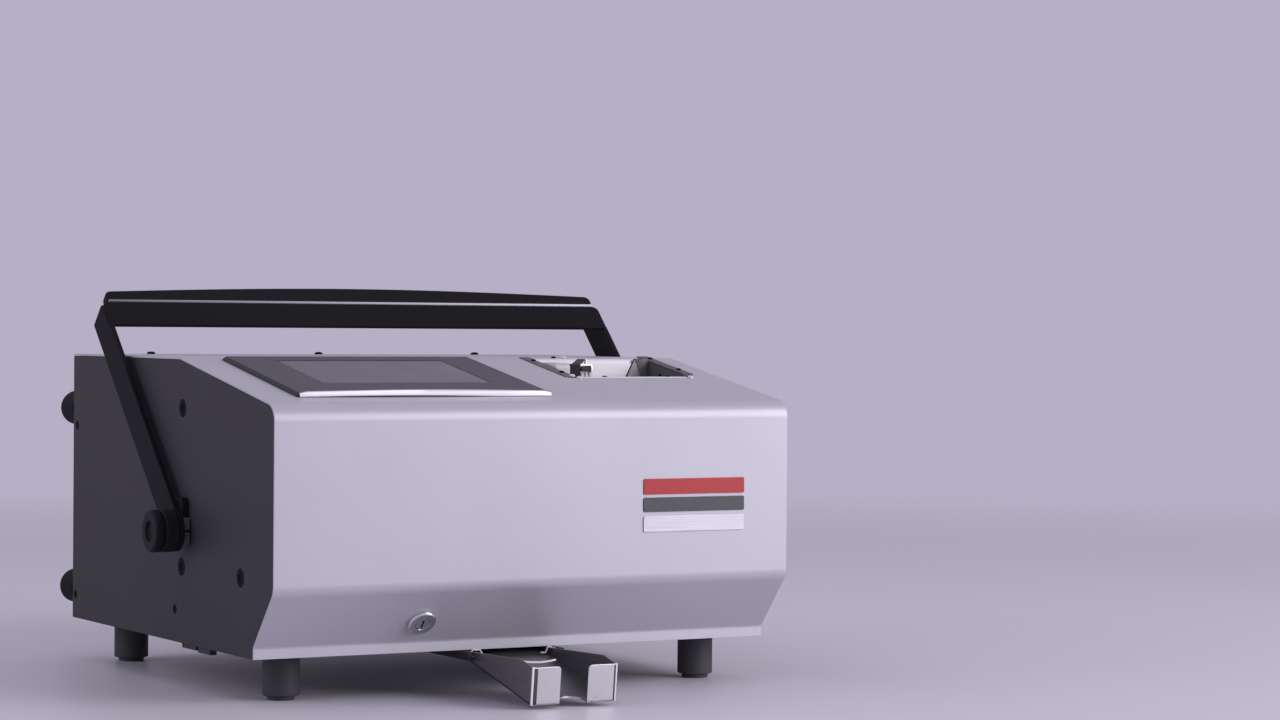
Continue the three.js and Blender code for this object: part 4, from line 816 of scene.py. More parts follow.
rocker_place = casing_at(inlet_at[0], socket_face - rocker_sunk, inlet_at[1] + rocker_rise) @ (
    Matrix.Rotation(rocker_turn, 4, "X"))
white_ink = powder_coat("white_marking", (0.7, 0.7, 0.7), (0.8, 0.8, 0.8), roughness=0.5,
                        grain_mm=0.2, bump=0.03)
on_face, off_face = (rocker_place @ Matrix.Translation((0, mark_out, way * mark_reach)) @
                     Matrix.Rotation(way * rocker_turn, 4, "X") for way in (1, -1))
marks = finished("switch_marks", together(
    eased_block((-line_half[0], -0.1, -line_half[1]), (line_half[0], 0.06, line_half[1]), 0.04,
                on_face),
    plate([circle((0, 0), radius, 32) for radius in ring_radii], 0.16, 0.03,
          off_face @ Matrix.Translation((0, -0.02, 0)) @ back_on)), white_ink)
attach(marks, "switch")

# Output tray: a stainless scoop folded from 1.5 mm sheet. Its floor ramps up to a fold, two
# plates close its front corners, and a round bite between them frees the fingers.
tray_x, tray_front, tray_fold, tray_rear = (187.7, 263.7), -76.0, 56.0, 90.0
floor_front, floor_rear, tray_top, tray_sheet = 3.5, 34.0, 35.8, 1.5
break_at, front_top, plate_width, plate_corner, bite = (-55.0, 38.6), 33.6, 25.7, 3.0, 13.0
flange_out, flange_front, flange_z = 3.0, 26.0, (32.3, 33.8)
floor_edge, wall_edge, outer_corner, flange_overlap = 0.25, 0.3, 0.8, 0.7
front_lean, lean_from = 3.2, -60.0
stainless = turned_metal("brushed_stainless", (0.6, 0.585, 0.62), along=(0, 1, 0), roughness=0.3,
                         lines=1500, bump=0.05)
# Dark copies of the scoop's stainless for its side faces and its upward faces: painted shade.
wall_painted_shade = turned_metal("tray_wall_painted_shade", (0.2, 0.193, 0.208), along=(0, 1, 0), roughness=0.4,
                          metallic=0.7, lines=1500, bump=0.05)
floor_painted_shade = turned_metal("tray_floor_painted_shade", (0.24, 0.233, 0.25), along=(0, 1, 0),
                           roughness=0.36, metallic=0.8, lines=1500, bump=0.05)


def ramped(mesh, front, rear, low, high):
    """A level sheet raised along Y into a ramp, in the casing's millimetres."""
    for vertex in mesh.vertices:
        vertex.co.z += low + (high - low) * (vertex.co.y - front) / (rear - front)
    mesh.transform(on_casing)
    return mesh


def leaned(mesh):
    """The tray's front, its foot drawn back under the top edge as the real plates lean."""
    for vertex in mesh.vertices:
        point = on_casing.inverted() @ vertex.co
        ahead = max(0.0, (lean_from - point.y) / (lean_from - tray_front))
        point.y += front_lean * ahead * (front_top - point.z) / (front_top - floor_front)
        vertex.co = on_casing @ point
    return mesh


tray_mid = sum(tray_x) / 2
inner_x = (tray_x[0] + plate_width, tray_x[1] - plate_width)
turns = [math.pi * (1 - i / 40) for i in range(41)]
bite_line = [(tray_mid + bite * math.cos(t), tray_front + bite * math.sin(t)) for t in turns
             if abs(bite * math.cos(t)) < inner_x[1] - tray_mid]
tray_floor = [(tray_x[0], tray_front), (inner_x[0], tray_front), (inner_x[0], bite_line[0][1]),
              *bite_line, (inner_x[1], bite_line[-1][1]), (inner_x[1], tray_front),
              (tray_x[1], tray_front), (tray_x[1], tray_fold), (tray_x[0], tray_fold)]
tray_wall = [(tray_front, floor_front), (tray_fold, floor_rear), (tray_rear, floor_rear),
             (tray_rear, tray_top), (tray_fold, tray_top), break_at, (tray_front, front_top)]
tray_parts = [
    ramped(plate([tray_floor], tray_sheet, floor_edge, Matrix.Translation((0, 0, tray_sheet / 2))),
           tray_front, tray_fold, floor_front, floor_rear),
    eased_block((tray_x[0], tray_fold - 0.4, floor_rear),
                (tray_x[1], tray_rear, floor_rear + tray_sheet), floor_edge)]
for x in (tray_x[0] + tray_sheet / 2, tray_x[1] - tray_sheet / 2):
    wall_line = rounded([(y, z, 1.2 if (y, z) == break_at else 0) for y, z in tray_wall])
    tray_parts.append(plate([wall_line], tray_sheet, wall_edge, casing_at(x, 0, 0) @ side_on))
for x, corners in (((tray_x[0], inner_x[0]), (outer_corner, plate_corner)),
                   ((inner_x[1], tray_x[1]), (plate_corner, outer_corner))):
    front_line = rounded([(x[0], floor_front, 0), (x[1], floor_front, 0),
                          (x[1], front_top, corners[1]), (x[0], front_top, corners[0])])
    tray_parts.append(plate([front_line], tray_sheet, wall_edge,
                            casing_at(0, tray_front + tray_sheet / 2, 0) @ back_on))
for low, high in ((tray_x[0] - flange_out, tray_x[0] + flange_overlap),
                  (tray_x[1] - flange_overlap, tray_x[1] + flange_out)):
    tray_parts.append(eased_block((low, flange_front, flange_z[0]),
                                  (high, tray_rear, flange_z[1]), floor_edge))
scoop = finished("tag_scoop", leaned(together(*tray_parts)), stainless)
scoop.data.materials.append(wall_painted_shade)
scoop.data.materials.append(floor_painted_shade)
# The scoop's side faces take a dark copy of its stainless as painted shade. Its upward faces, the
# floor among them, take another dark copy, a painted shade and dark reflection under the hood's
# lip.
for facet in scoop.data.polygons:
    if abs(facet.normal.x) > 0.7:
        facet.material_index = 1
    elif facet.normal.z > 0.5:
        facet.material_index = 2
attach(scoop, "tray")
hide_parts("output_tray")

# Tray edges: near-white strips on the walls' front edges are a painted highlight, and dark strips
# where the walls bend into the front plates are a painted dark reflection; both grow lighter
# towards the top. A bent lip stands behind the left plate, in the same near-white painted
# highlight.
edge_z = (floor_front, front_top + 0.6)
bright_x = ((tray_x[0] - 0.25, tray_x[0] + 1.5), (tray_x[1] - 1.2, tray_x[1] + 0.25))
dark_x = ((bright_x[0][1], tray_x[0] + 5.0), (tray_x[1] - 2.4, bright_x[1][0]))
bright_y, dark_y = (tray_front - 0.5, tray_front + 0.8), (tray_front - 0.2, tray_front + 0.4)
lip_wire, lip_line = 0.8, [(188.0, -60.0, 36.9), (195.0, -60.0, 36.1), (203.0, -60.0, 35.8),
                           (210.0, -60.0, 36.3), (216.5, -60.0, 37.3)]


def graded(name, near, far, direction, span, roughness, specular=0.5, metallic=0.0):
    """A smooth surface whose tone runs from one colour to another along a direction."""
    material, tree, shader, place = node_material(name)
    smear_scale, fine_scale, fine_bump, fine_depth = 26.0, 900.0, 0.02, 0.00005
    along = new_node(tree, "ShaderNodeVectorMath", {0: place, 1: direction},
                     operation="DOT_PRODUCT")
    reach = new_node(tree, "ShaderNodeMapRange", {
        "Value": along.outputs["Value"], "From Min": span[0], "From Max": span[1]})
    skinned(tree, shader, tones(tree, reach.outputs["Result"], near, far),
            noise(tree, place, smear_scale), (roughness - 0.04, roughness + 0.05),
            noise(tree, place, fine_scale), fine_bump, fine_depth, metallic, specular)
    return material


# Near-white for the painted edge highlights, near-black for the painted dark reflections in the
# bends.
edge_painted_highlight = graded("tray_edge_painted_highlight", (0.8, 0.78, 0.84), (0.86, 0.84, 0.9), (0.0, 0.0, 1.0),
                    (0.0, 0.04), 0.3, metallic=0.2)
bend_painted_reflection = graded("tray_bend_painted_reflection", (0.05, 0.048, 0.054), (0.09, 0.086, 0.096), (0.0, 0.0, 1.0),
                    (0.0, 0.04), 0.4, specular=0.2)
bright_edges = finished("tray_bright_edges", leaned(together(*[
    eased_block((low, bright_y[0], edge_z[0]), (high, bright_y[1], edge_z[1]), 0.3)
    for low, high in bright_x], wire(lip_line, lip_wire))), edge_painted_highlight)
bend_lines = finished("tray_bend_lines", leaned(together(*[
    eased_block((low, dark_y[0], edge_z[0] + 0.6), (high, dark_y[1], edge_z[1] - 1.4), 0.15)
    for low, high in dark_x])), bend_painted_reflection)
for piece in (bright_edges, bend_lines):
    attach(piece, "tray")

# Tray clips: two bent white wire clips on the tray's rear flanges, just under the hood's lip.
clip_wire, clip_y = 0.8, 33
clip_lines = [[(188.4, 34.6), (189.4, 38.0), (192.1, 37.5), (196.4, 37.6), (198.6, 33.9)],
              [(252.6, 32.7), (257.2, 32.7), (259.2, 37.6), (263.0, 36.8), (264.2, 34.4),
               (265.6, 37.0)]]
clip_white = powder_coat("clip_wire", (0.66, 0.64, 0.69), (0.74, 0.72, 0.77), roughness=0.4,
                         grain_mm=0.2, bump=0.03)
clips = finished("tray_clips", together(*[
    wire([(x, clip_y, z) for x, z in line], clip_wire) for line in clip_lines]), clip_white)
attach(clips, "tray")

# Base: a 3 mm plate under the machine with two rails that carry the tray, in dark coat. Two low
# tabs stand down from each of its side edges.
tab_left, tab_width, tab_top = (2.0, 462.0), 6.0, 37.4
tab_spans = ((163.0, 194.0, 33.2), (133.0, 159.0, 32.2))
softened("base_plate", "base", dark_coat, 0.4, "dark_paint")
base_tabs = finished("base_edge_tabs", together(*[
    eased_block((low, front, bottom), (low + tab_width, rear, tab_top), 0.3)
    for low in tab_left for front, rear, bottom in tab_spans]), dark_coat)
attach(base_tabs, "chassis")

# Feet: turned rubber, four under the base with a waist at the table, four on the rear panel.
foot_radius, foot_neck, foot_neck_height, foot_bevel = 15.0, 11.25, 3.5, 3.5
foot_places = {"front_left_foot": (41.7, 80.3), "front_right_foot": (428.3, 80.3),
               "rear_left_foot": (41.7, 413.8), "rear_right_foot": (428.3, 413.8)}
back_radius, back_length, back_nose, back_bevel = 15.2, 37.0, 4.0, 3.0
back_hole, back_hole_depth = (6.0, 5.2), 2.5
back_places = {"lower_left_back_foot": (15, 63), "upper_left_back_foot": (15, 224),
               "lower_right_back_foot": (455, 63), "upper_right_back_foot": (455, 224)}
foot_rubber = powder_coat("foot_rubber", (0.042, 0.04, 0.0467), (0.068, 0.0647, 0.075),
                          roughness=0.56, grain_mm=0.4, bump=0.1, specular=0.3)
# The rear feet are the same rubber as the feet under the base. Their near-black colour is a painted
# shade, kept darker than the feet that the lamps light.
back_foot_painted_shade = powder_coat("back_foot_rubber_painted_shade", (0.011, 0.0105, 0.012), (0.018, 0.017, 0.0195),
                          roughness=0.62, grain_mm=0.4, bump=0.1, specular=0.05)
foot_outline = rounded([(0, 0, 0), (foot_neck, 0, 0.8), (foot_neck, foot_neck_height, 0.6),
                        (foot_radius, foot_neck_height, 1.2),
                        (foot_radius, casing_bottom - foot_bevel, 1.5),
                        (foot_radius - foot_bevel, casing_bottom, 0.6), (0, casing_bottom, 0)], 5)
back_outline = rounded([(0, 0, 0), (back_radius - back_bevel, 0, 0.5),
                        (back_radius, back_bevel, 1.2), (back_radius, back_length - back_nose, 2.0),
                        (back_radius - back_nose, back_length, 2.0),
                        (back_hole[0], back_length, 0.8),
                        (back_hole[1], back_length - back_hole_depth, 0.5),
                        (0, back_length - back_hole_depth, 0)], 5)
feet = [(node, foot_outline, casing_at(x, y, 0), foot_rubber)
        for node, (x, y) in foot_places.items()]
feet += [(node, back_outline, casing_at(x, rear_face, z) @ rearward, back_foot_painted_shade)
         for node, (x, z) in back_places.items()]
for node, outline, place, rubber in feet:
    piece = finished(f"{node}_rubber", lathe(outline, place), rubber)
    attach(piece, "chassis")
    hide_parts(node)

# Display: a dark painted bezel with bevelled edges and a bright front lip, and behind it the touch
# screen's glass with a slightly lighter lit area. The bezel's side faces and its front face under
# the lip take a near-black copy of its paint, a painted shade; the lip's light metal is partly a
# painted highlight, and the glass grows lighter towards its right and rear, a painted reflection.
bezel_x, bezel_s, bezel_height, bezel_bevel = (33.0, 261.0), (33.0, 190.5), 3.5, 2.5
screen_x, screen_s, glass_height, glass_edge = (74.0, 225.0), (75.0, 169.5), 3.2, 0.3
lip_rise, lip_arch, lip_gap, lip_depth, lip_steps = 4.2, 1.3, 0.9, 2.4, 36
module_low, module_high = (52, 60, -15.5), (242, 172.5, -1.1)


def level_loop(height, inset, corner, x, s):
    """A rounded rectangle at a height over the slope, drawn in from its sides by the inset."""
    box = rounded_box((x[0] + inset, x[1] - inset), (s[0] + inset, s[1] - inset), corner, 8)
    return [(u, v, height) for u, v in box]


bezel_coat = powder_coat("bezel_paint", (0.05, 0.047, 0.06), (0.066, 0.062, 0.078), roughness=0.42,
                         grain_mm=0.3, bump=0.05, specular=0.22)
bezel_painted_shade = powder_coat("bezel_side_painted_shade", (0.014, 0.013, 0.017), (0.022, 0.021, 0.026),
                         roughness=0.4, grain_mm=0.3, bump=0.04, specular=0.25)
# The glass's dark tone grows lighter towards its right and rear: a painted reflection.
glass_painted_reflection = graded("screen_glass", (0.055, 0.05, 0.064), (0.092, 0.085, 0.105),
                    (1.0, 0.6, 0.0), (-0.22, 0.02), 0.22, specular=0.32)
outer_loops = ((0.3, 0.0, 2.0), (bezel_height - bezel_bevel, 0.0, 2.0),
               (bezel_height - bezel_bevel * 0.45, bezel_bevel * 0.5, 1.8),
               (bezel_height, bezel_bevel, 1.5))
inner_loops = ((bezel_height, -0.9, 1.2), (bezel_height - 0.4, -0.35, 1.0), (0.3, -0.35, 1.0))
bezel_frame = finished("display_frame", lofted(
    [level_loop(*loop, bezel_x, bezel_s) for loop in outer_loops] +
    [level_loop(*loop, screen_x, screen_s) for loop in inner_loops], on_slope, closed=True),
    bezel_coat)
bezel_frame.data.materials.append(bezel_painted_shade)
# Faces turned to the sides, and the front face under the lip, take the near-black copy of the bezel
# paint: painted shade.
for facet in bezel_frame.data.polygons:
    if abs(facet.normal.x) > 0.3 or facet.normal.y < -0.6:
        facet.material_index = 1
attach(bezel_frame, "hood")
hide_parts("display_bezel")

screen_glass = finished("screen_panel", together(
    eased_block((screen_x[0], screen_s[0], 0.1), (screen_x[1], screen_s[1], glass_height),
                glass_edge, on_slope, 3),
    eased_block(module_low, module_high, 0.5, on_slope)), glass_painted_reflection)
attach(screen_glass, "hood")
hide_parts("touch_screen")


def arched_lip():
    """The bezel's bright front edge: a strip that rises towards its middle, mitred at its ends."""
    front, rows = bezel_s[0], []
    for step in range(lip_steps + 1):
        share = step / lip_steps
        x = bezel_x[0] + 2.4 + (bezel_x[1] - bezel_x[0] - 3.0) * share
        ends = min(share, 1 - share) * (bezel_x[1] - bezel_x[0])
        top = lip_rise + lip_arch * math.sin(math.pi * share) - max(0.0, 1 - ends / 3.0) * 1.2
        foot = 0.35 + lip_gap * math.sin(math.pi * min(share / 0.8, 1.0))
        rows.append([(x, s, z) for s, z in (
            (front - 0.35, foot), (front - 0.35, foot + 0.7), (front + 0.35, top - 0.5),
            (front + 0.9, top), (front + lip_depth, top), (front + lip_depth, foot))])
    return lofted(rows, on_slope)


# The lip is a polished chamfer. Its light metal is partly a painted highlight of the light it
# catches, and on the hopper's bright screws the same metal is partly a painted glint.
lip_highlight_metal = turned_metal("painted_highlight_metal", (0.72, 0.7, 0.78), along=(1, 0, 0), roughness=0.34,
                          metallic=0.35, lines=500, bump=0.02)
lip = finished("bezel_front_lip", arched_lip(), lip_highlight_metal)
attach(lip, "hood")

# Hopper trim: a brushed strip screwed along the mouth's left edge and a dark cheek plate that
# hangs at its right edge, with its screws.
strip_x, strip_s, strip_h = (318.3, 325.9), (115, 193), (-2.5, 0.5)
strip_cap_x, strip_cap_s, strip_cap_h = (316.5, 326.2), (113, 200.5), (0.06, 0.8)
cheek_x, cheek_drop, cheek_top, cheek_return_s = (436.2, 438.7), 28.0, 1.3, (193.4, 194.9)
cheek_flange_x, cheek_flange_s, cheek_return_x = 447.2, (121.0, 203.0), 429.0
small_button = {"radius": 2.2, "height": 1.3, "socket": 0.8, "dome": 0.5}
bright_button = {"radius": 2.6, "height": 1.8, "socket": 0.9, "dome": 0.7}
dark_screws = [(322.1, 184, 0.8), (322.1, 131, 0.8), (443.3, 190.5, 1.3), (443.3, 139.8, 1.3),
               (351, 201.2, 0), (355.5, 114.6, -0.4), (417.6, 114.6, -0.4)]
bright_screws = [(323.6, 114.8, 0.5), (327.4, 108.2, 0), (438.8, 110.6, 0), (361, 201.2, 0)]
cheek_screws_at = [(cheek_x[0], 126, -8), (cheek_x[0], 158, -8)]
strip_finish = turned_metal("brushed_dark_strip", (0.115, 0.11, 0.125), along=(0, 1, 0),
                            roughness=0.42, metallic=0.4, lines=1400, bump=0.05)
# The cheek's coat is lighter than the side panels' dark coat: painted light on its shaded inner
# face.
cheek_painted_light_coat = powder_coat("cheek_painted_light_coat", (0.085, 0.081, 0.094), (0.11, 0.104, 0.12), roughness=0.5,
                         specular=0.25)
strip_piece = finished("feed_edge_strip", together(*[
    eased_block(*zip(x, s, h), edge, on_slope)
    for x, s, h, edge in ((strip_x, strip_s, strip_h, 0.4),
                          (strip_cap_x, strip_cap_s, strip_cap_h, 0.25))]), strip_finish)
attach(strip_piece, "hood")
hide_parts("hopper_strip")
cheek_piece = finished("feed_end_cheek", together(
    eased_block((cheek_x[0], strip_s[0], -cheek_drop), (cheek_x[1], strip_s[1], cheek_top), 0.4,
                on_slope),
    eased_block((cheek_x[0], cheek_flange_s[0], 0.1),
                (cheek_flange_x, cheek_flange_s[1], cheek_top), 0.35, on_slope),
    eased_block((cheek_return_x, cheek_return_s[0], -cheek_drop),
                (cheek_x[1], cheek_return_s[1], 0.4), 0.3, on_slope)), cheek_painted_light_coat)
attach(cheek_piece, "hood")
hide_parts("hopper_cheek")
slope_up = (on_slope.to_3x3() @ Vector((0, 0, 1))).normalized()
# The bright screws' light metal is partly a painted glint.
for name, button, places, way, finish, slot in (
        ("hopper_black_screws", small_button, dark_screws, slope_up, black_oxide, "black_paint"),
        ("hopper_bright_screws", bright_button, bright_screws, slope_up, lip_highlight_metal, "chrome"),
        ("cheek_screws", small_button, cheek_screws_at, (-1, 0, 0), black_oxide, "black_paint")):
    screws = repeated(name, socket_head(**button),
                      [(on_slope @ Vector(place), way) for place in places], finish)
    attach(screws, "hood")

# Tag magazine: a bent aluminium trough hung from the mouth's folded flange. A stack of blank
# tags stands in it against the rubber feed roller, with a spring-loaded pusher behind.
bright_sheet = graded("bright_sheet_metal", (0.72, 0.7, 0.77), (0.76, 0.74, 0.81), (1.0, 0.0, 0.0),
                      (-0.2, 0.2), 0.42, metallic=0.15)
softened("tag_magazine", "magazine_trough_sheet", bright_sheet, 0.2, "aluminium", "hood")
tag_y, tag_z, stack_x, tag_count = (149.9, 178.5), (218.7, 269.5), (328.0, 341.7), 15
tag_sheet, tag_edge, tag_corner, tag_hole, tag_hole_at = 0.74, 0.12, 4.5, 1.7, 5.0
tag_metal = turned_metal("blank_tag_metal", (0.66, 0.65, 0.68), along=(0, 0, 1), roughness=0.38,
                         metallic=0.2, lines=1200, bump=0.04)
tag_lit_face = turned_metal("tag_face_painted_light", (0.93, 0.92, 0.95), along=(0, 0, 1), roughness=0.45,
                        metallic=0.1, lines=1200, bump=0.02)
tag_half, tag_long = (tag_y[1] - tag_y[0]) / 2, tag_z[1] - tag_z[0]
tag_pitch = (stack_x[1] - stack_x[0]) / tag_count
tag_form = plate([rounded_box((-tag_long / 2, tag_long / 2), (-tag_half, tag_half), tag_corner, 10),
                  circle((tag_hole_at - tag_long / 2, 0.0), tag_hole, 16)], tag_sheet, tag_edge,
                 Matrix.Scale(millimetre, 4))
tags = repeated("blank_tags", tag_form, [
    (on_casing @ Vector((stack_x[0] + tag_pitch * (i + 0.5), sum(tag_y) / 2, sum(tag_z) / 2)),
     (1, 0, 0)) for i in range(tag_count)], tag_metal, spin=False)
tags.data.materials.append(tag_lit_face)
# The tags' broad faces take a lighter, less metallic copy of their metal: painted light on faces
# that lie in shade.
for facet in tags.data.polygons:
    facet.material_index = 1 if abs(facet.normal.x) > 0.7 else 0
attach(tags, "hood")
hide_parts("tag_stack")

# Mouth edges: thin bare sheets that line the mouth's rear and front edges, on the slope's plane
# or the casing's. Each is given by its spans along X, Y and Z, its eased edge and its plane.
trim_sheets = (((322.6, 435.8), (195.2, 196.0), (-19.8, -0.1), 0.2, on_slope),
               ((322.6, 434.0), (180.6, 181.4), (257.0, 271.4), 0.2, on_casing),
               ((330.5, 435.5), (111.1, 112.2), (-3.0, 0.4), 0.25, on_slope),
               ((330.5, 435.5), (111.3, 117.2), (-1.2, -0.4), 0.2, on_slope))
trim = finished("mouth_edge_trim", together(*[
    eased_block(*zip(x, y, z), edge, place) for x, y, z, edge, place in trim_sheets]), bright_sheet)
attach(trim, "hood")

# Mouth corner plates: thin sheets on the trough's rear wall under the cheek, a dark one that folds
# back from it and a gusset with a dark strip along its edge. The dark one is painted lighter
# towards its right as painted light, and the gusset's light grey, darker towards its right, is
# painted light on a face that slants to the light.
corner_y, corner_sheet = 178.65, 0.18
return_painted_light = graded("cheek_return_painted_light", (0.085, 0.081, 0.094), (0.17, 0.16, 0.185),
                     (1.0, 0.0, 0.0), (0.188, 0.197), 0.5, specular=0.2)
gusset_painted_light = graded("gusset_painted_light", (0.4, 0.385, 0.42), (0.3, 0.29, 0.32), (1.0, 0.0, 0.0),
                      (0.178, 0.194), 0.45, specular=0.3)
corner_plates = {
    "cheek_return": ([(422.4, 272.6), (435.6, 272.6), (435.6, 255.0), (428.6, 255.0)],
                     return_painted_light, "dark_paint"),
    "corner_gusset": ([(422.0, 272.2), (428.4, 255.0), (414.0, 255.0)], gusset_painted_light, "steel"),
    "gusset_edge": ([(421.4, 272.8), (422.6, 272.8), (413.6, 255.0), (412.2, 255.0)],
                    black_oxide, "black_paint"),
}
for name, (corners, finish, slot) in corner_plates.items():
    corner_plate = finished(name, plate([corners], corner_sheet, 0.04,
                                        casing_at(0, corner_y, 0) @ back_on), finish)
    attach(corner_plate, "hood")

# Feed roller: a rubber tyre on a steel shaft in the magazine's ears.
roller_at, roller_radius, roller_width, shaft_radius = (315.9, 164.2, 250.0), 10.0, 18.0, 3.0
shaft_ends, shaft_chamfer = (146.9, 181.5), 0.4
shaft_line = [(0, shaft_ends[0]), (shaft_radius - shaft_chamfer, shaft_ends[0]),
              (shaft_radius, shaft_ends[0] + shaft_chamfer),
              (shaft_radius, shaft_ends[1] - shaft_chamfer),
              (shaft_radius - shaft_chamfer, shaft_ends[1]), (0, shaft_ends[1])]
tyre_side = roller_width / 2
tyre_line = rounded([(shaft_radius, -tyre_side, 0), (roller_radius, -tyre_side, 1.0),
                     (roller_radius, tyre_side, 1.0), (shaft_radius, tyre_side, 0)], 4)
tyre = finished("feed_tyre", together(
    lathe(tyre_line, casing_at(*roller_at) @ rearward),
    lathe(shaft_line, casing_at(roller_at[0], 0, roller_at[2]) @ rearward, 24)), foot_rubber)
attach(tyre, "roller")
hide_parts("feed_roller")

# Pusher: a black block that stands behind the tags, with a chromed finger tab on its top, two
# bright guide pins and a button under the tab, two pads and three short rods.
pusher_x, pusher_top, tab_reach, tab_height, tab_depth = (342.0, 352.0), 268.4, 11.9, 6.9, 12.0
tab_sheet, tab_edge, pin_radius, pin_drop, pins_away = 1.6, 0.5, 1.9, 4.4, (3.2, 8.6)
rod_radius, rod_height, rods_drop, rods_from, rods_apart = 2.2, 9.5, 16.5, 2.8, 4.0
pad_y, pad_sheet = 151.35, 2.1
pad_line = [(342.4, 267.4), (352.4, 267.4), (357.4, 272.9), (349.8, 272.9)]
block_black = powder_coat("pusher_block_coat", (0.013, 0.0115, 0.0125), (0.021, 0.0185, 0.02),
                          roughness=0.5, grain_mm=0.3, bump=0.06, specular=0.15)
brown_pad = powder_coat("pressed_fibre_pad", (0.06, 0.047, 0.046), (0.085, 0.068, 0.067),
                        roughness=0.55, grain_mm=0.5, bump=0.15, specular=0.25)
tab_black = powder_coat("tab_pad_rubber", (0.033, 0.029, 0.037), (0.048, 0.042, 0.053),
                        roughness=0.5, grain_mm=0.3, bump=0.06, specular=0.2)
tab_x, tab_y = pusher_x[1] + tab_reach, (tag_y[0], tag_y[0] + tab_depth)
block_piece = finished("pusher_block", eased_block(
    (pusher_x[0], tag_y[0], tag_z[0]), (pusher_x[1], tag_y[1], pusher_top), 0.6), block_black)
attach(block_piece, "pusher")
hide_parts("tag_pusher")
pad = finished("pusher_pad", plate([rounded([(x, z, 0.6) for x, z in pad_line], 3)], pad_sheet, 0.5,
                                   casing_at(0, pad_y, 0) @ back_on), brown_pad)
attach(pad, "pusher")
pin_line = rounded([(0, 0, 0), (pin_radius, 0, 0.3), (pin_radius, tab_reach - 1.5, 0.3),
                    (0, tab_reach - 1.5, 0)], 3)
tab = finished("pusher_tab", together(
    eased_block((pusher_x[1] - 0.2, tab_y[0], pusher_top - tab_sheet),
                (tab_x, tab_y[1], pusher_top), tab_edge),
    eased_block((tab_x - tab_sheet, tab_y[0], pusher_top - tab_height),
                (tab_x, tab_y[1], pusher_top), tab_edge),
    *[lathe(pin_line, casing_at(pusher_x[1] - 0.2, tag_y[0] + away, pusher_top - pin_drop) @
            Matrix.Rotation(math.pi / 2, 4, "Y"), 20) for away in pins_away],
    lathe(rounded([(0, 0, 0), (1.6, 0, 0), (1.6, 6.0, 1.0), (0, 6.0, 0)], 4),
          casing_at(pusher_x[1] + 6.5, tag_y[0] + 3.0, pusher_top - 1.5), 24)), chrome)
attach(tab, "pusher")
tab_pad = finished("pusher_tab_pad", eased_block(
    (pusher_x[1] + 0.4, tag_y[0] - 0.6, pusher_top - tab_height + 0.3),
    (tab_x - 1.2, tag_y[0] + 1.6, pusher_top - 1.8), 0.8), tab_black)
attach(tab_pad, "pusher")
rod_line = rounded([(0, 0, 0), (rod_radius, 0, 0.4), (rod_radius, rod_height, 0.6),
                    (0, rod_height, 0)], 4)
lower_rods = finished("pusher_guide_rods", together(*[
    lathe(rod_line, casing_at(pusher_x[1] + rods_from + rods_apart * i, tag_y[0] + 4.0,
                              pusher_top - rods_drop), 24) for i in range(3)]), tag_metal)
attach(lower_rods, "pusher")

# Key lock: a chromed flanged barrel in the chamfer, its core with a keyway, the flat cam behind
# it, and the bent keeper on the base that the cam turns behind.
lock_flange, lock_barrel, lock_core, lock_depth = 12.0, 9.0, 6.0, 24.0
core_gap, key_slot, plug_front, plug_rear = 0.15, (1.4, 8.0), (7.0, 0.4), (20.6, 14.0)
lock_place = on_chamfer @ Matrix.Translation((lock_at[0], 0, -lock_at[1])) @ rearward
barrel = finished("lock_sleeve", lathe(rounded([
    (lock_core + core_gap, -3.3, 0.3), (lock_flange - 1.2, -3.3, 0.6), (lock_flange, -2.2, 0.6),
    (lock_flange, -0.3, 0.2), (lock_barrel, -0.3, 0), (lock_barrel, lock_depth, 0.5),
    (lock_core + core_gap, lock_depth, 0)], 4), lock_place, 72), chrome)
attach(barrel, "hood")
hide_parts("lock_barrel")
core_outline = circle((0, 0), lock_core, 48)
slot_outline = rounded_box(*[(-size / 2, size / 2) for size in key_slot], 0.3, 3)
core = finished("lock_plug", together(*[
    plate(outlines, length, 0.25, lock_place @ Matrix.Translation((0, 0, middle)))
    for outlines, (length, middle) in (([core_outline, slot_outline], plug_front),
                                       ([core_outline], plug_rear))]), chrome)
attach(core, "lock")
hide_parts("lock_core")
softened("lock_cam", "lock_tongue", turned_steel, 0.3, "steel", "lock")
softened("lock_keeper", "lock_catch", turned_steel, 0.3, "steel")

# Front badge: a bare brushed plate with a plain band of two colour bars over it.
badge_x, badge_z, badge_out = (330.0, 427.0), (132.0, 145.0), 1.0
badge_corner, badge_edge, bar_out, bar_middle = 1.5, 0.2, 0.9, -0.5
plate_finish = turned_metal("badge_aluminium", (0.6, 0.585, 0.645), along=(1, 0, 0), roughness=0.4,
                            metallic=0.5, lines=1300, bump=0.04)
badge = finished("front_plate", plate([rounded_box(badge_x, badge_z, badge_corner, 6)], badge_out,
                                      badge_edge, casing_at(0, -badge_out / 2, 0) @ back_on),
                 plate_finish)
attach(badge, "hood")
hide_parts("badge_plate")
bar_rows = {"upper_colour_bar": ((163.0, 176.0), (0.42, 0.012, 0.02), (0.5, 0.02, 0.03)),
            "lower_colour_bar": ((148.5, 160.5), (0.05, 0.048, 0.056), (0.07, 0.066, 0.077))}
for name, (z, colour, lighter) in bar_rows.items():
    enamel = powder_coat(f"{name}_enamel", colour, lighter, roughness=0.28, grain_mm=0.25,
                         bump=0.03)
    face = finished(name, plate([rounded_box(badge_x, z, badge_corner, 6)], bar_out, badge_edge,
                                casing_at(0, bar_middle, 0) @ back_on), enamel)
    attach(face, "hood")

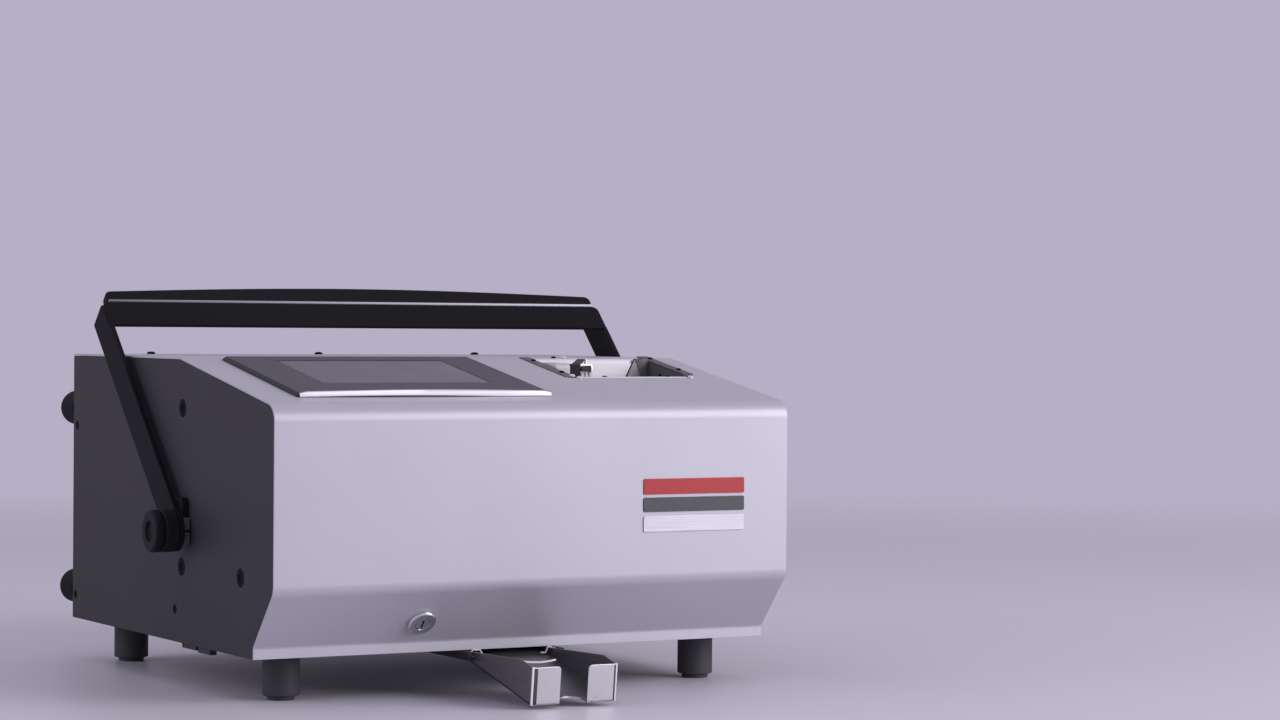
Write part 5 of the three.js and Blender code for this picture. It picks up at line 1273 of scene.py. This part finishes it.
# Handle pivots: a steel stud on a rectangular shoulder block at each side panel, a black lug
# plate over it that limits the handle, and a waisted black clamp knob on its thread.
pivot_y, pivot_z = handle_pivot
block_half, block_length, block_corner, block_edge = (13.5, 11.2), 6.0, 1.5, 0.45
groove_z, groove_depth, seam_z, seam_half = (-1.2, 1.4), 0.5, -3.2, 0.3
thread_radius, spigot_radius, stud_tip, stud_end, arm_gap, arm_sheet = 5.0, 6.0, 20.7, 9.5, 6.3, 3.8
thread_turns, thread_pitch, thread_depths = 20, 0.68, (0.35, 0.02)
lug_y, lug_z, lug_corner = (175.0, 191.0), (145.0, 158.0), 5.0
knob_radius, knob_reach, knob_waist, knob_collar, knob_disc = 17.5, 31.3, 14.6, 10.6, 7.4
knob_recess, recess_depth, knob_start, bore_end, bore_slack = 8.0, 2.5, 10.4, 21.3, 0.3
knob_black = powder_coat("knob_plastic", (0.0145, 0.0136, 0.0161), (0.0212, 0.0203, 0.0239),
                         roughness=0.48, grain_mm=0.3, bump=0.05, specular=0.06)
handle_black = powder_coat("handle_coat", (0.0108, 0.0101, 0.0119), (0.0156, 0.0147, 0.0178),
                           roughness=0.5, grain_mm=0.4, bump=0.1, specular=0.04)
machined_block = turned_metal("machined_stud_steel", (0.125, 0.12, 0.137), along=(0, 0, 1),
                              roughness=0.42, metallic=0.3, lines=700, bump=0.05)

front, back = pivot_y - block_half[0], pivot_y + block_half[0]
low, high = pivot_z - block_half[1], pivot_z + block_half[1]
groove_z = (pivot_z + groove_z[0], pivot_z + groove_z[1])
seam_z = pivot_z + seam_z
block_line = rounded([
    (back, low, block_corner), (back, high, block_corner), (front, high, block_corner),
    (front, groove_z[1], 0), (front + groove_depth, groove_z[1], 0),
    (front + groove_depth, groove_z[0], 0), (front, groove_z[0], 0), (front, seam_z + seam_half, 0),
    (front + groove_depth, seam_z, 0), (front, seam_z - seam_half, 0),
    (front, low, block_corner)], 4)
seam_spans = ((block_length - 0.3, *groove_z), (1.0, low + 0.4, high - 1.4),
              (block_length - 0.3, seam_z - seam_half, seam_z + seam_half))
thread_line = []
for i in range(thread_turns):
    turn_at = knob_start - 3.2 + i * thread_pitch
    thread_line += [(thread_radius - thread_depths[0], turn_at),
                    (thread_radius - thread_depths[1], turn_at + thread_pitch / 2)]
stud_line = [(0, -stud_end), (spigot_radius - 0.5, -stud_end), (spigot_radius, -stud_end + 0.5),
             (spigot_radius, 0.3), (thread_radius, 0.3), (thread_radius, knob_start - 3.4),
             *thread_line, (thread_radius - thread_depths[0], stud_tip - 0.2), (0, stud_tip - 0.2)]
lug_line = rounded([(lug_y[0], lug_z[0], 0.8), (lug_y[1], lug_z[0], 0.8),
                    (lug_y[1], lug_z[1], lug_corner), (lug_y[0], lug_z[1], lug_corner)])
knob_neck = (knob_start + knob_collar + knob_reach - knob_disc) / 2
knob_line = rounded([
    (thread_radius + bore_slack, knob_start, 0), (knob_radius, knob_start, 1.2),
    (knob_radius, knob_start + knob_collar, 1.2), (knob_waist, knob_neck, 1.6),
    (knob_radius, knob_reach - knob_disc, 2.2), (knob_radius, knob_reach, 2.4),
    (knob_recess + 0.6, knob_reach, 0.8), (knob_recess, knob_reach - recess_depth, 0.8),
    (0, knob_reach - recess_depth, 0), (0, bore_end, 0),
    (thread_radius + bore_slack, bore_end, 0)], 6)
for side, face, out in (("left", 0.0, -1), ("right", casing_width, 1)):
    outward = casing_at(face, pivot_y, pivot_z) @ Matrix.Rotation(out * math.pi / 2, 4, "Y")
    on_panel = casing_at(face + out * block_length / 2, 0, 0) @ side_on
    stud = finished(f"{side}_shouldered_stud", together(
        plate([block_line], block_length, block_edge, on_panel),
        lathe(stud_line, outward, 40)), machined_block)
    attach(stud, "chassis")
    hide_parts(f"{side}_handle_stud")
    # Thin black strips fill the block's groove and seam and run along its front edge at the panel:
    # painted shade in the recesses.
    seams = finished(f"{side}_stud_seams", together(*[
        eased_block((min(face + out * 0.2, face + out * reach), front - 0.06, from_z),
                    (max(face + out * 0.2, face + out * reach), front + 0.3, to_z), 0.03)
        for reach, from_z, to_z in seam_spans]), knob_black)
    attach(seams, "chassis")
    lug = finished(f"{side}_stop_lug", plate([lug_line], block_length - 0.02, 0.5, on_panel),
                   handle_black)
    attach(lug, "chassis")
    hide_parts(f"{side}_stud_lug")
    knob = finished(f"{side}_knob_body", lathe(knob_line, outward, 72), knob_black)
    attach(knob, f"{side}_knob")
    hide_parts(f"{side}_clamp_knob")

# Carrying handle: two flat arms and a cross bar bent from 3.8 mm steel plate in black coat, a
# polished strip on the bar, and an arched rubber grip over it. A disc stands round each stud.
arm_length, arm_width, arm_corner, arm_edge, handle_rise = 252.5, 29.5, 2.0, 0.45, 178.54
eye_radius, bar_height, bend, relief = 17.2, 28.0, 1.2, 6.0
strip_height, strip_depth, strip_lift, strip_short = 2.5, 3.5, 0.3, (6.5, 5)
grip_ends, grip_depth, grip_end_rise, grip_middle_rise = (6.0, 4.5), 12.0, 11.0, 18.0
grip_corner, grip_lift, grip_round, grip_thinner = 4.5, 0.6, 3.2, 0.8
on_handle = casing_at(0, pivot_y, pivot_z) @ (
    Matrix.Rotation(-math.acos(handle_rise / arm_length), 4, "X"))
arm_half, fold_top = arm_width / 2, arm_length - bar_height + bend
left_arm = (-arm_gap - arm_sheet, -arm_gap)
bar_x = (left_arm[0], casing_width - left_arm[0])
# The blank's corner is cut back in an arc, where the arm folds into the cross bar
relief_line = [(-arm_half + bend + relief * (1 - math.sin(t)),
                arm_length - relief * (1 - math.cos(t)), 0)
               for t in (math.pi / 2 * i / 8 for i in range(9))]
arm_line = rounded([(-arm_half, -arm_half, arm_half - 0.01), (arm_half, -arm_half, arm_half - 0.01),
                    (arm_half, arm_length, arm_corner), *relief_line,
                    (-arm_half + bend, fold_top, 0), (-arm_half, fold_top, 0)], 16)
stud_hole = circle((0, 0), thread_radius + bore_slack, 32)
bar_line = rounded([(bar_x[0], arm_length - bar_height, 0), (bar_x[1], arm_length - bar_height, 0),
                    (bar_x[1], arm_length, relief), (bar_x[0], arm_length, relief)], 10)
handle_parts = []
for middle in (sum(left_arm) / 2, casing_width - sum(left_arm) / 2):
    on_arm = on_handle @ Matrix.Translation((middle, 0, 0)) @ side_on
    handle_parts.append(plate([arm_line, stud_hole], arm_sheet, arm_edge, on_arm))
    handle_parts.append(plate([circle((0, 0), eye_radius, 64), stud_hole], arm_sheet - 0.04,
                              arm_edge, on_arm))
handle_parts.append(plate([bar_line], arm_sheet, bend, on_handle @ Matrix.Translation(
    (0, -arm_half + arm_sheet / 2, 0)) @ back_on))
bracket = finished("handle_frame", together(*handle_parts), handle_black)
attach(bracket, "handle")
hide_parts("handle_bracket")
# The strip is polished. Its tone, dark at its left end and near white at its right, is a painted
# highlight.
strip_painted_highlight = graded("handle_strip_painted_highlight", (0.2, 0.19, 0.21), (0.8, 0.78, 0.86), (1.0, 0.0, 0.0),
                     (-0.24, 0.2), 0.36, metallic=0.3)
bright_strip = finished("handle_bright_strip", eased_block(
    (bar_x[0] + strip_short[0], -arm_half, arm_length + strip_lift),
    (bar_x[1] - strip_short[1], -arm_half + strip_depth, arm_length + strip_lift + strip_height),
    0.4, on_handle), strip_painted_highlight)
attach(bright_strip, "handle")
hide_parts("handle_strip")


def arched_grip(steps=64):
    """A grip with a flat foot, round corners and a top that arches towards its middle."""
    foot = arm_length + grip_lift + strip_height
    x0, x1 = bar_x[0] + grip_ends[0], bar_x[1] - grip_ends[1]
    rows = []
    for step in range(steps + 1):
        share = 0.5 - 0.5 * math.cos(math.pi * step / steps)
        x = x0 + (x1 - x0) * share
        from_end = min(x - x0, x1 - x)
        rounding = 1.0
        if from_end < grip_corner:
            rounding = math.sqrt(max(0.0, 1 - (1 - from_end / grip_corner) ** 2))
        rise = grip_end_rise + (grip_middle_rise - grip_end_rise) * math.sin(math.pi * share)
        top = foot + rise - grip_corner * (1 - rounding)
        thinner = grip_thinner * (1 - rounding) / 2
        section = rounded_box((-arm_half + thinner, -arm_half + grip_depth - thinner), (foot, top),
                              grip_round, 7)
        rows.append([(x, y, z) for y, z in section])
    return lofted(rows, on_handle)


grip_rubber = powder_coat("grip_rubber", (0.0095, 0.009, 0.0105), (0.0145, 0.0138, 0.0165),
                          roughness=0.56, grain_mm=0.35, bump=0.12, specular=0.07)
grip_piece = finished("handle_grip_rubber", arched_grip(), grip_rubber)
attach(grip_piece, "handle")
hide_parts("handle_grip")

# Mechanism: milled aluminium plates, the steel type wheel between them with its belt drive, the
# press lever with its gear motor and eccentric, and the tag carriage on its rail.
milled = turned_metal("milled_aluminium", (0.58, 0.58, 0.61), along=(0, 1, 0), roughness=0.36,
                      lines=700, bump=0.05)
motor_black = powder_coat("motor_paint", (0.014, 0.014, 0.015), (0.024, 0.024, 0.026),
                          roughness=0.38, grain_mm=0.35, bump=0.06)
inside = {
    "left_mechanism_plate": ("left_side_plate", milled, 0.4, "aluminium", "chassis"),
    "right_mechanism_plate": ("right_side_plate", milled, 0.4, "aluminium", "chassis"),
    "type_wheel": ("type_discs", turned_steel, 0.25, "steel", "wheel"),
    "wheel_pulley": ("large_pulley", milled, 0.3, "aluminium", "wheel"),
    "motor_pulley": ("small_pulley", milled, 0.3, "aluminium", "motor"),
    "wheel_motor": ("stepper_motor", motor_black, 0.8, "black_paint", "chassis"),
    "drive_belt": ("toothed_belt", foot_rubber, 0.2, "rubber", "chassis"),
    "press_lever": ("press_arm", turned_steel, 0.4, "steel", "lever"),
    "press_motor": ("gear_motor", motor_black, 0.5, "black_paint", "chassis"),
    "press_cam": ("eccentric_cam", turned_steel, 0.4, "steel", "cam"),
    "carriage_rail": ("linear_rail", turned_steel, 0.4, "steel", "chassis"),
    "tag_carriage": ("carriage_block", milled, 0.4, "aluminium", "carriage"),
    "tag_clamp": ("clamp_jaws", motor_black, 0.3, "black_paint", "clamp"),
    "exit_chute": ("tag_chute", stainless, 0.25, "stainless", "chassis"),
}
for node, (name, finish, edge, slot, body) in inside.items():
    softened(node, name, finish, edge, slot, body)

# Electronics: a power supply in a folded aluminium case with rows of vent holes, and the green
# controller board on its pillars with its chips and connectors.
supply_x, supply_y, supply_z = (40.0, 140.0), (300.0, 418.0), (40.5, 82.2)
lid_sheet, lid_gap, lid_corner, lid_edge, case_edge = 1.0, 0.1, 1.0, 0.2, 0.5
vent_from, vent_radius, vent_pitch, vent_rows, vent_columns = (32, 24), 1.8, 7.0, 6, 11
vents = [circle((supply_x[0] + vent_from[0] + i * vent_pitch,
                 supply_y[0] + vent_from[1] + j * vent_pitch), vent_radius, 12)
         for i in range(vent_rows) for j in range(vent_columns)]
supply_case = finished("supply_case", together(
    eased_block((supply_x[0], supply_y[0], supply_z[0]),
                (supply_x[1], supply_y[1], supply_z[1] - lid_sheet - lid_gap), case_edge),
    plate([rounded_box(supply_x, supply_y, lid_corner, 4)] + vents, lid_sheet, lid_edge,
          casing_at(0, 0, supply_z[1] - lid_sheet / 2))), bright_sheet)
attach(supply_case, "chassis")
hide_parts("power_supply")
solder_mask = powder_coat("solder_mask", (0.01, 0.1, 0.035), (0.014, 0.14, 0.05), roughness=0.35,
                          grain_mm=1.4, bump=0.1)
softened("controller_board", "board_assembly", solder_mask, 0.3, "circuit_board")
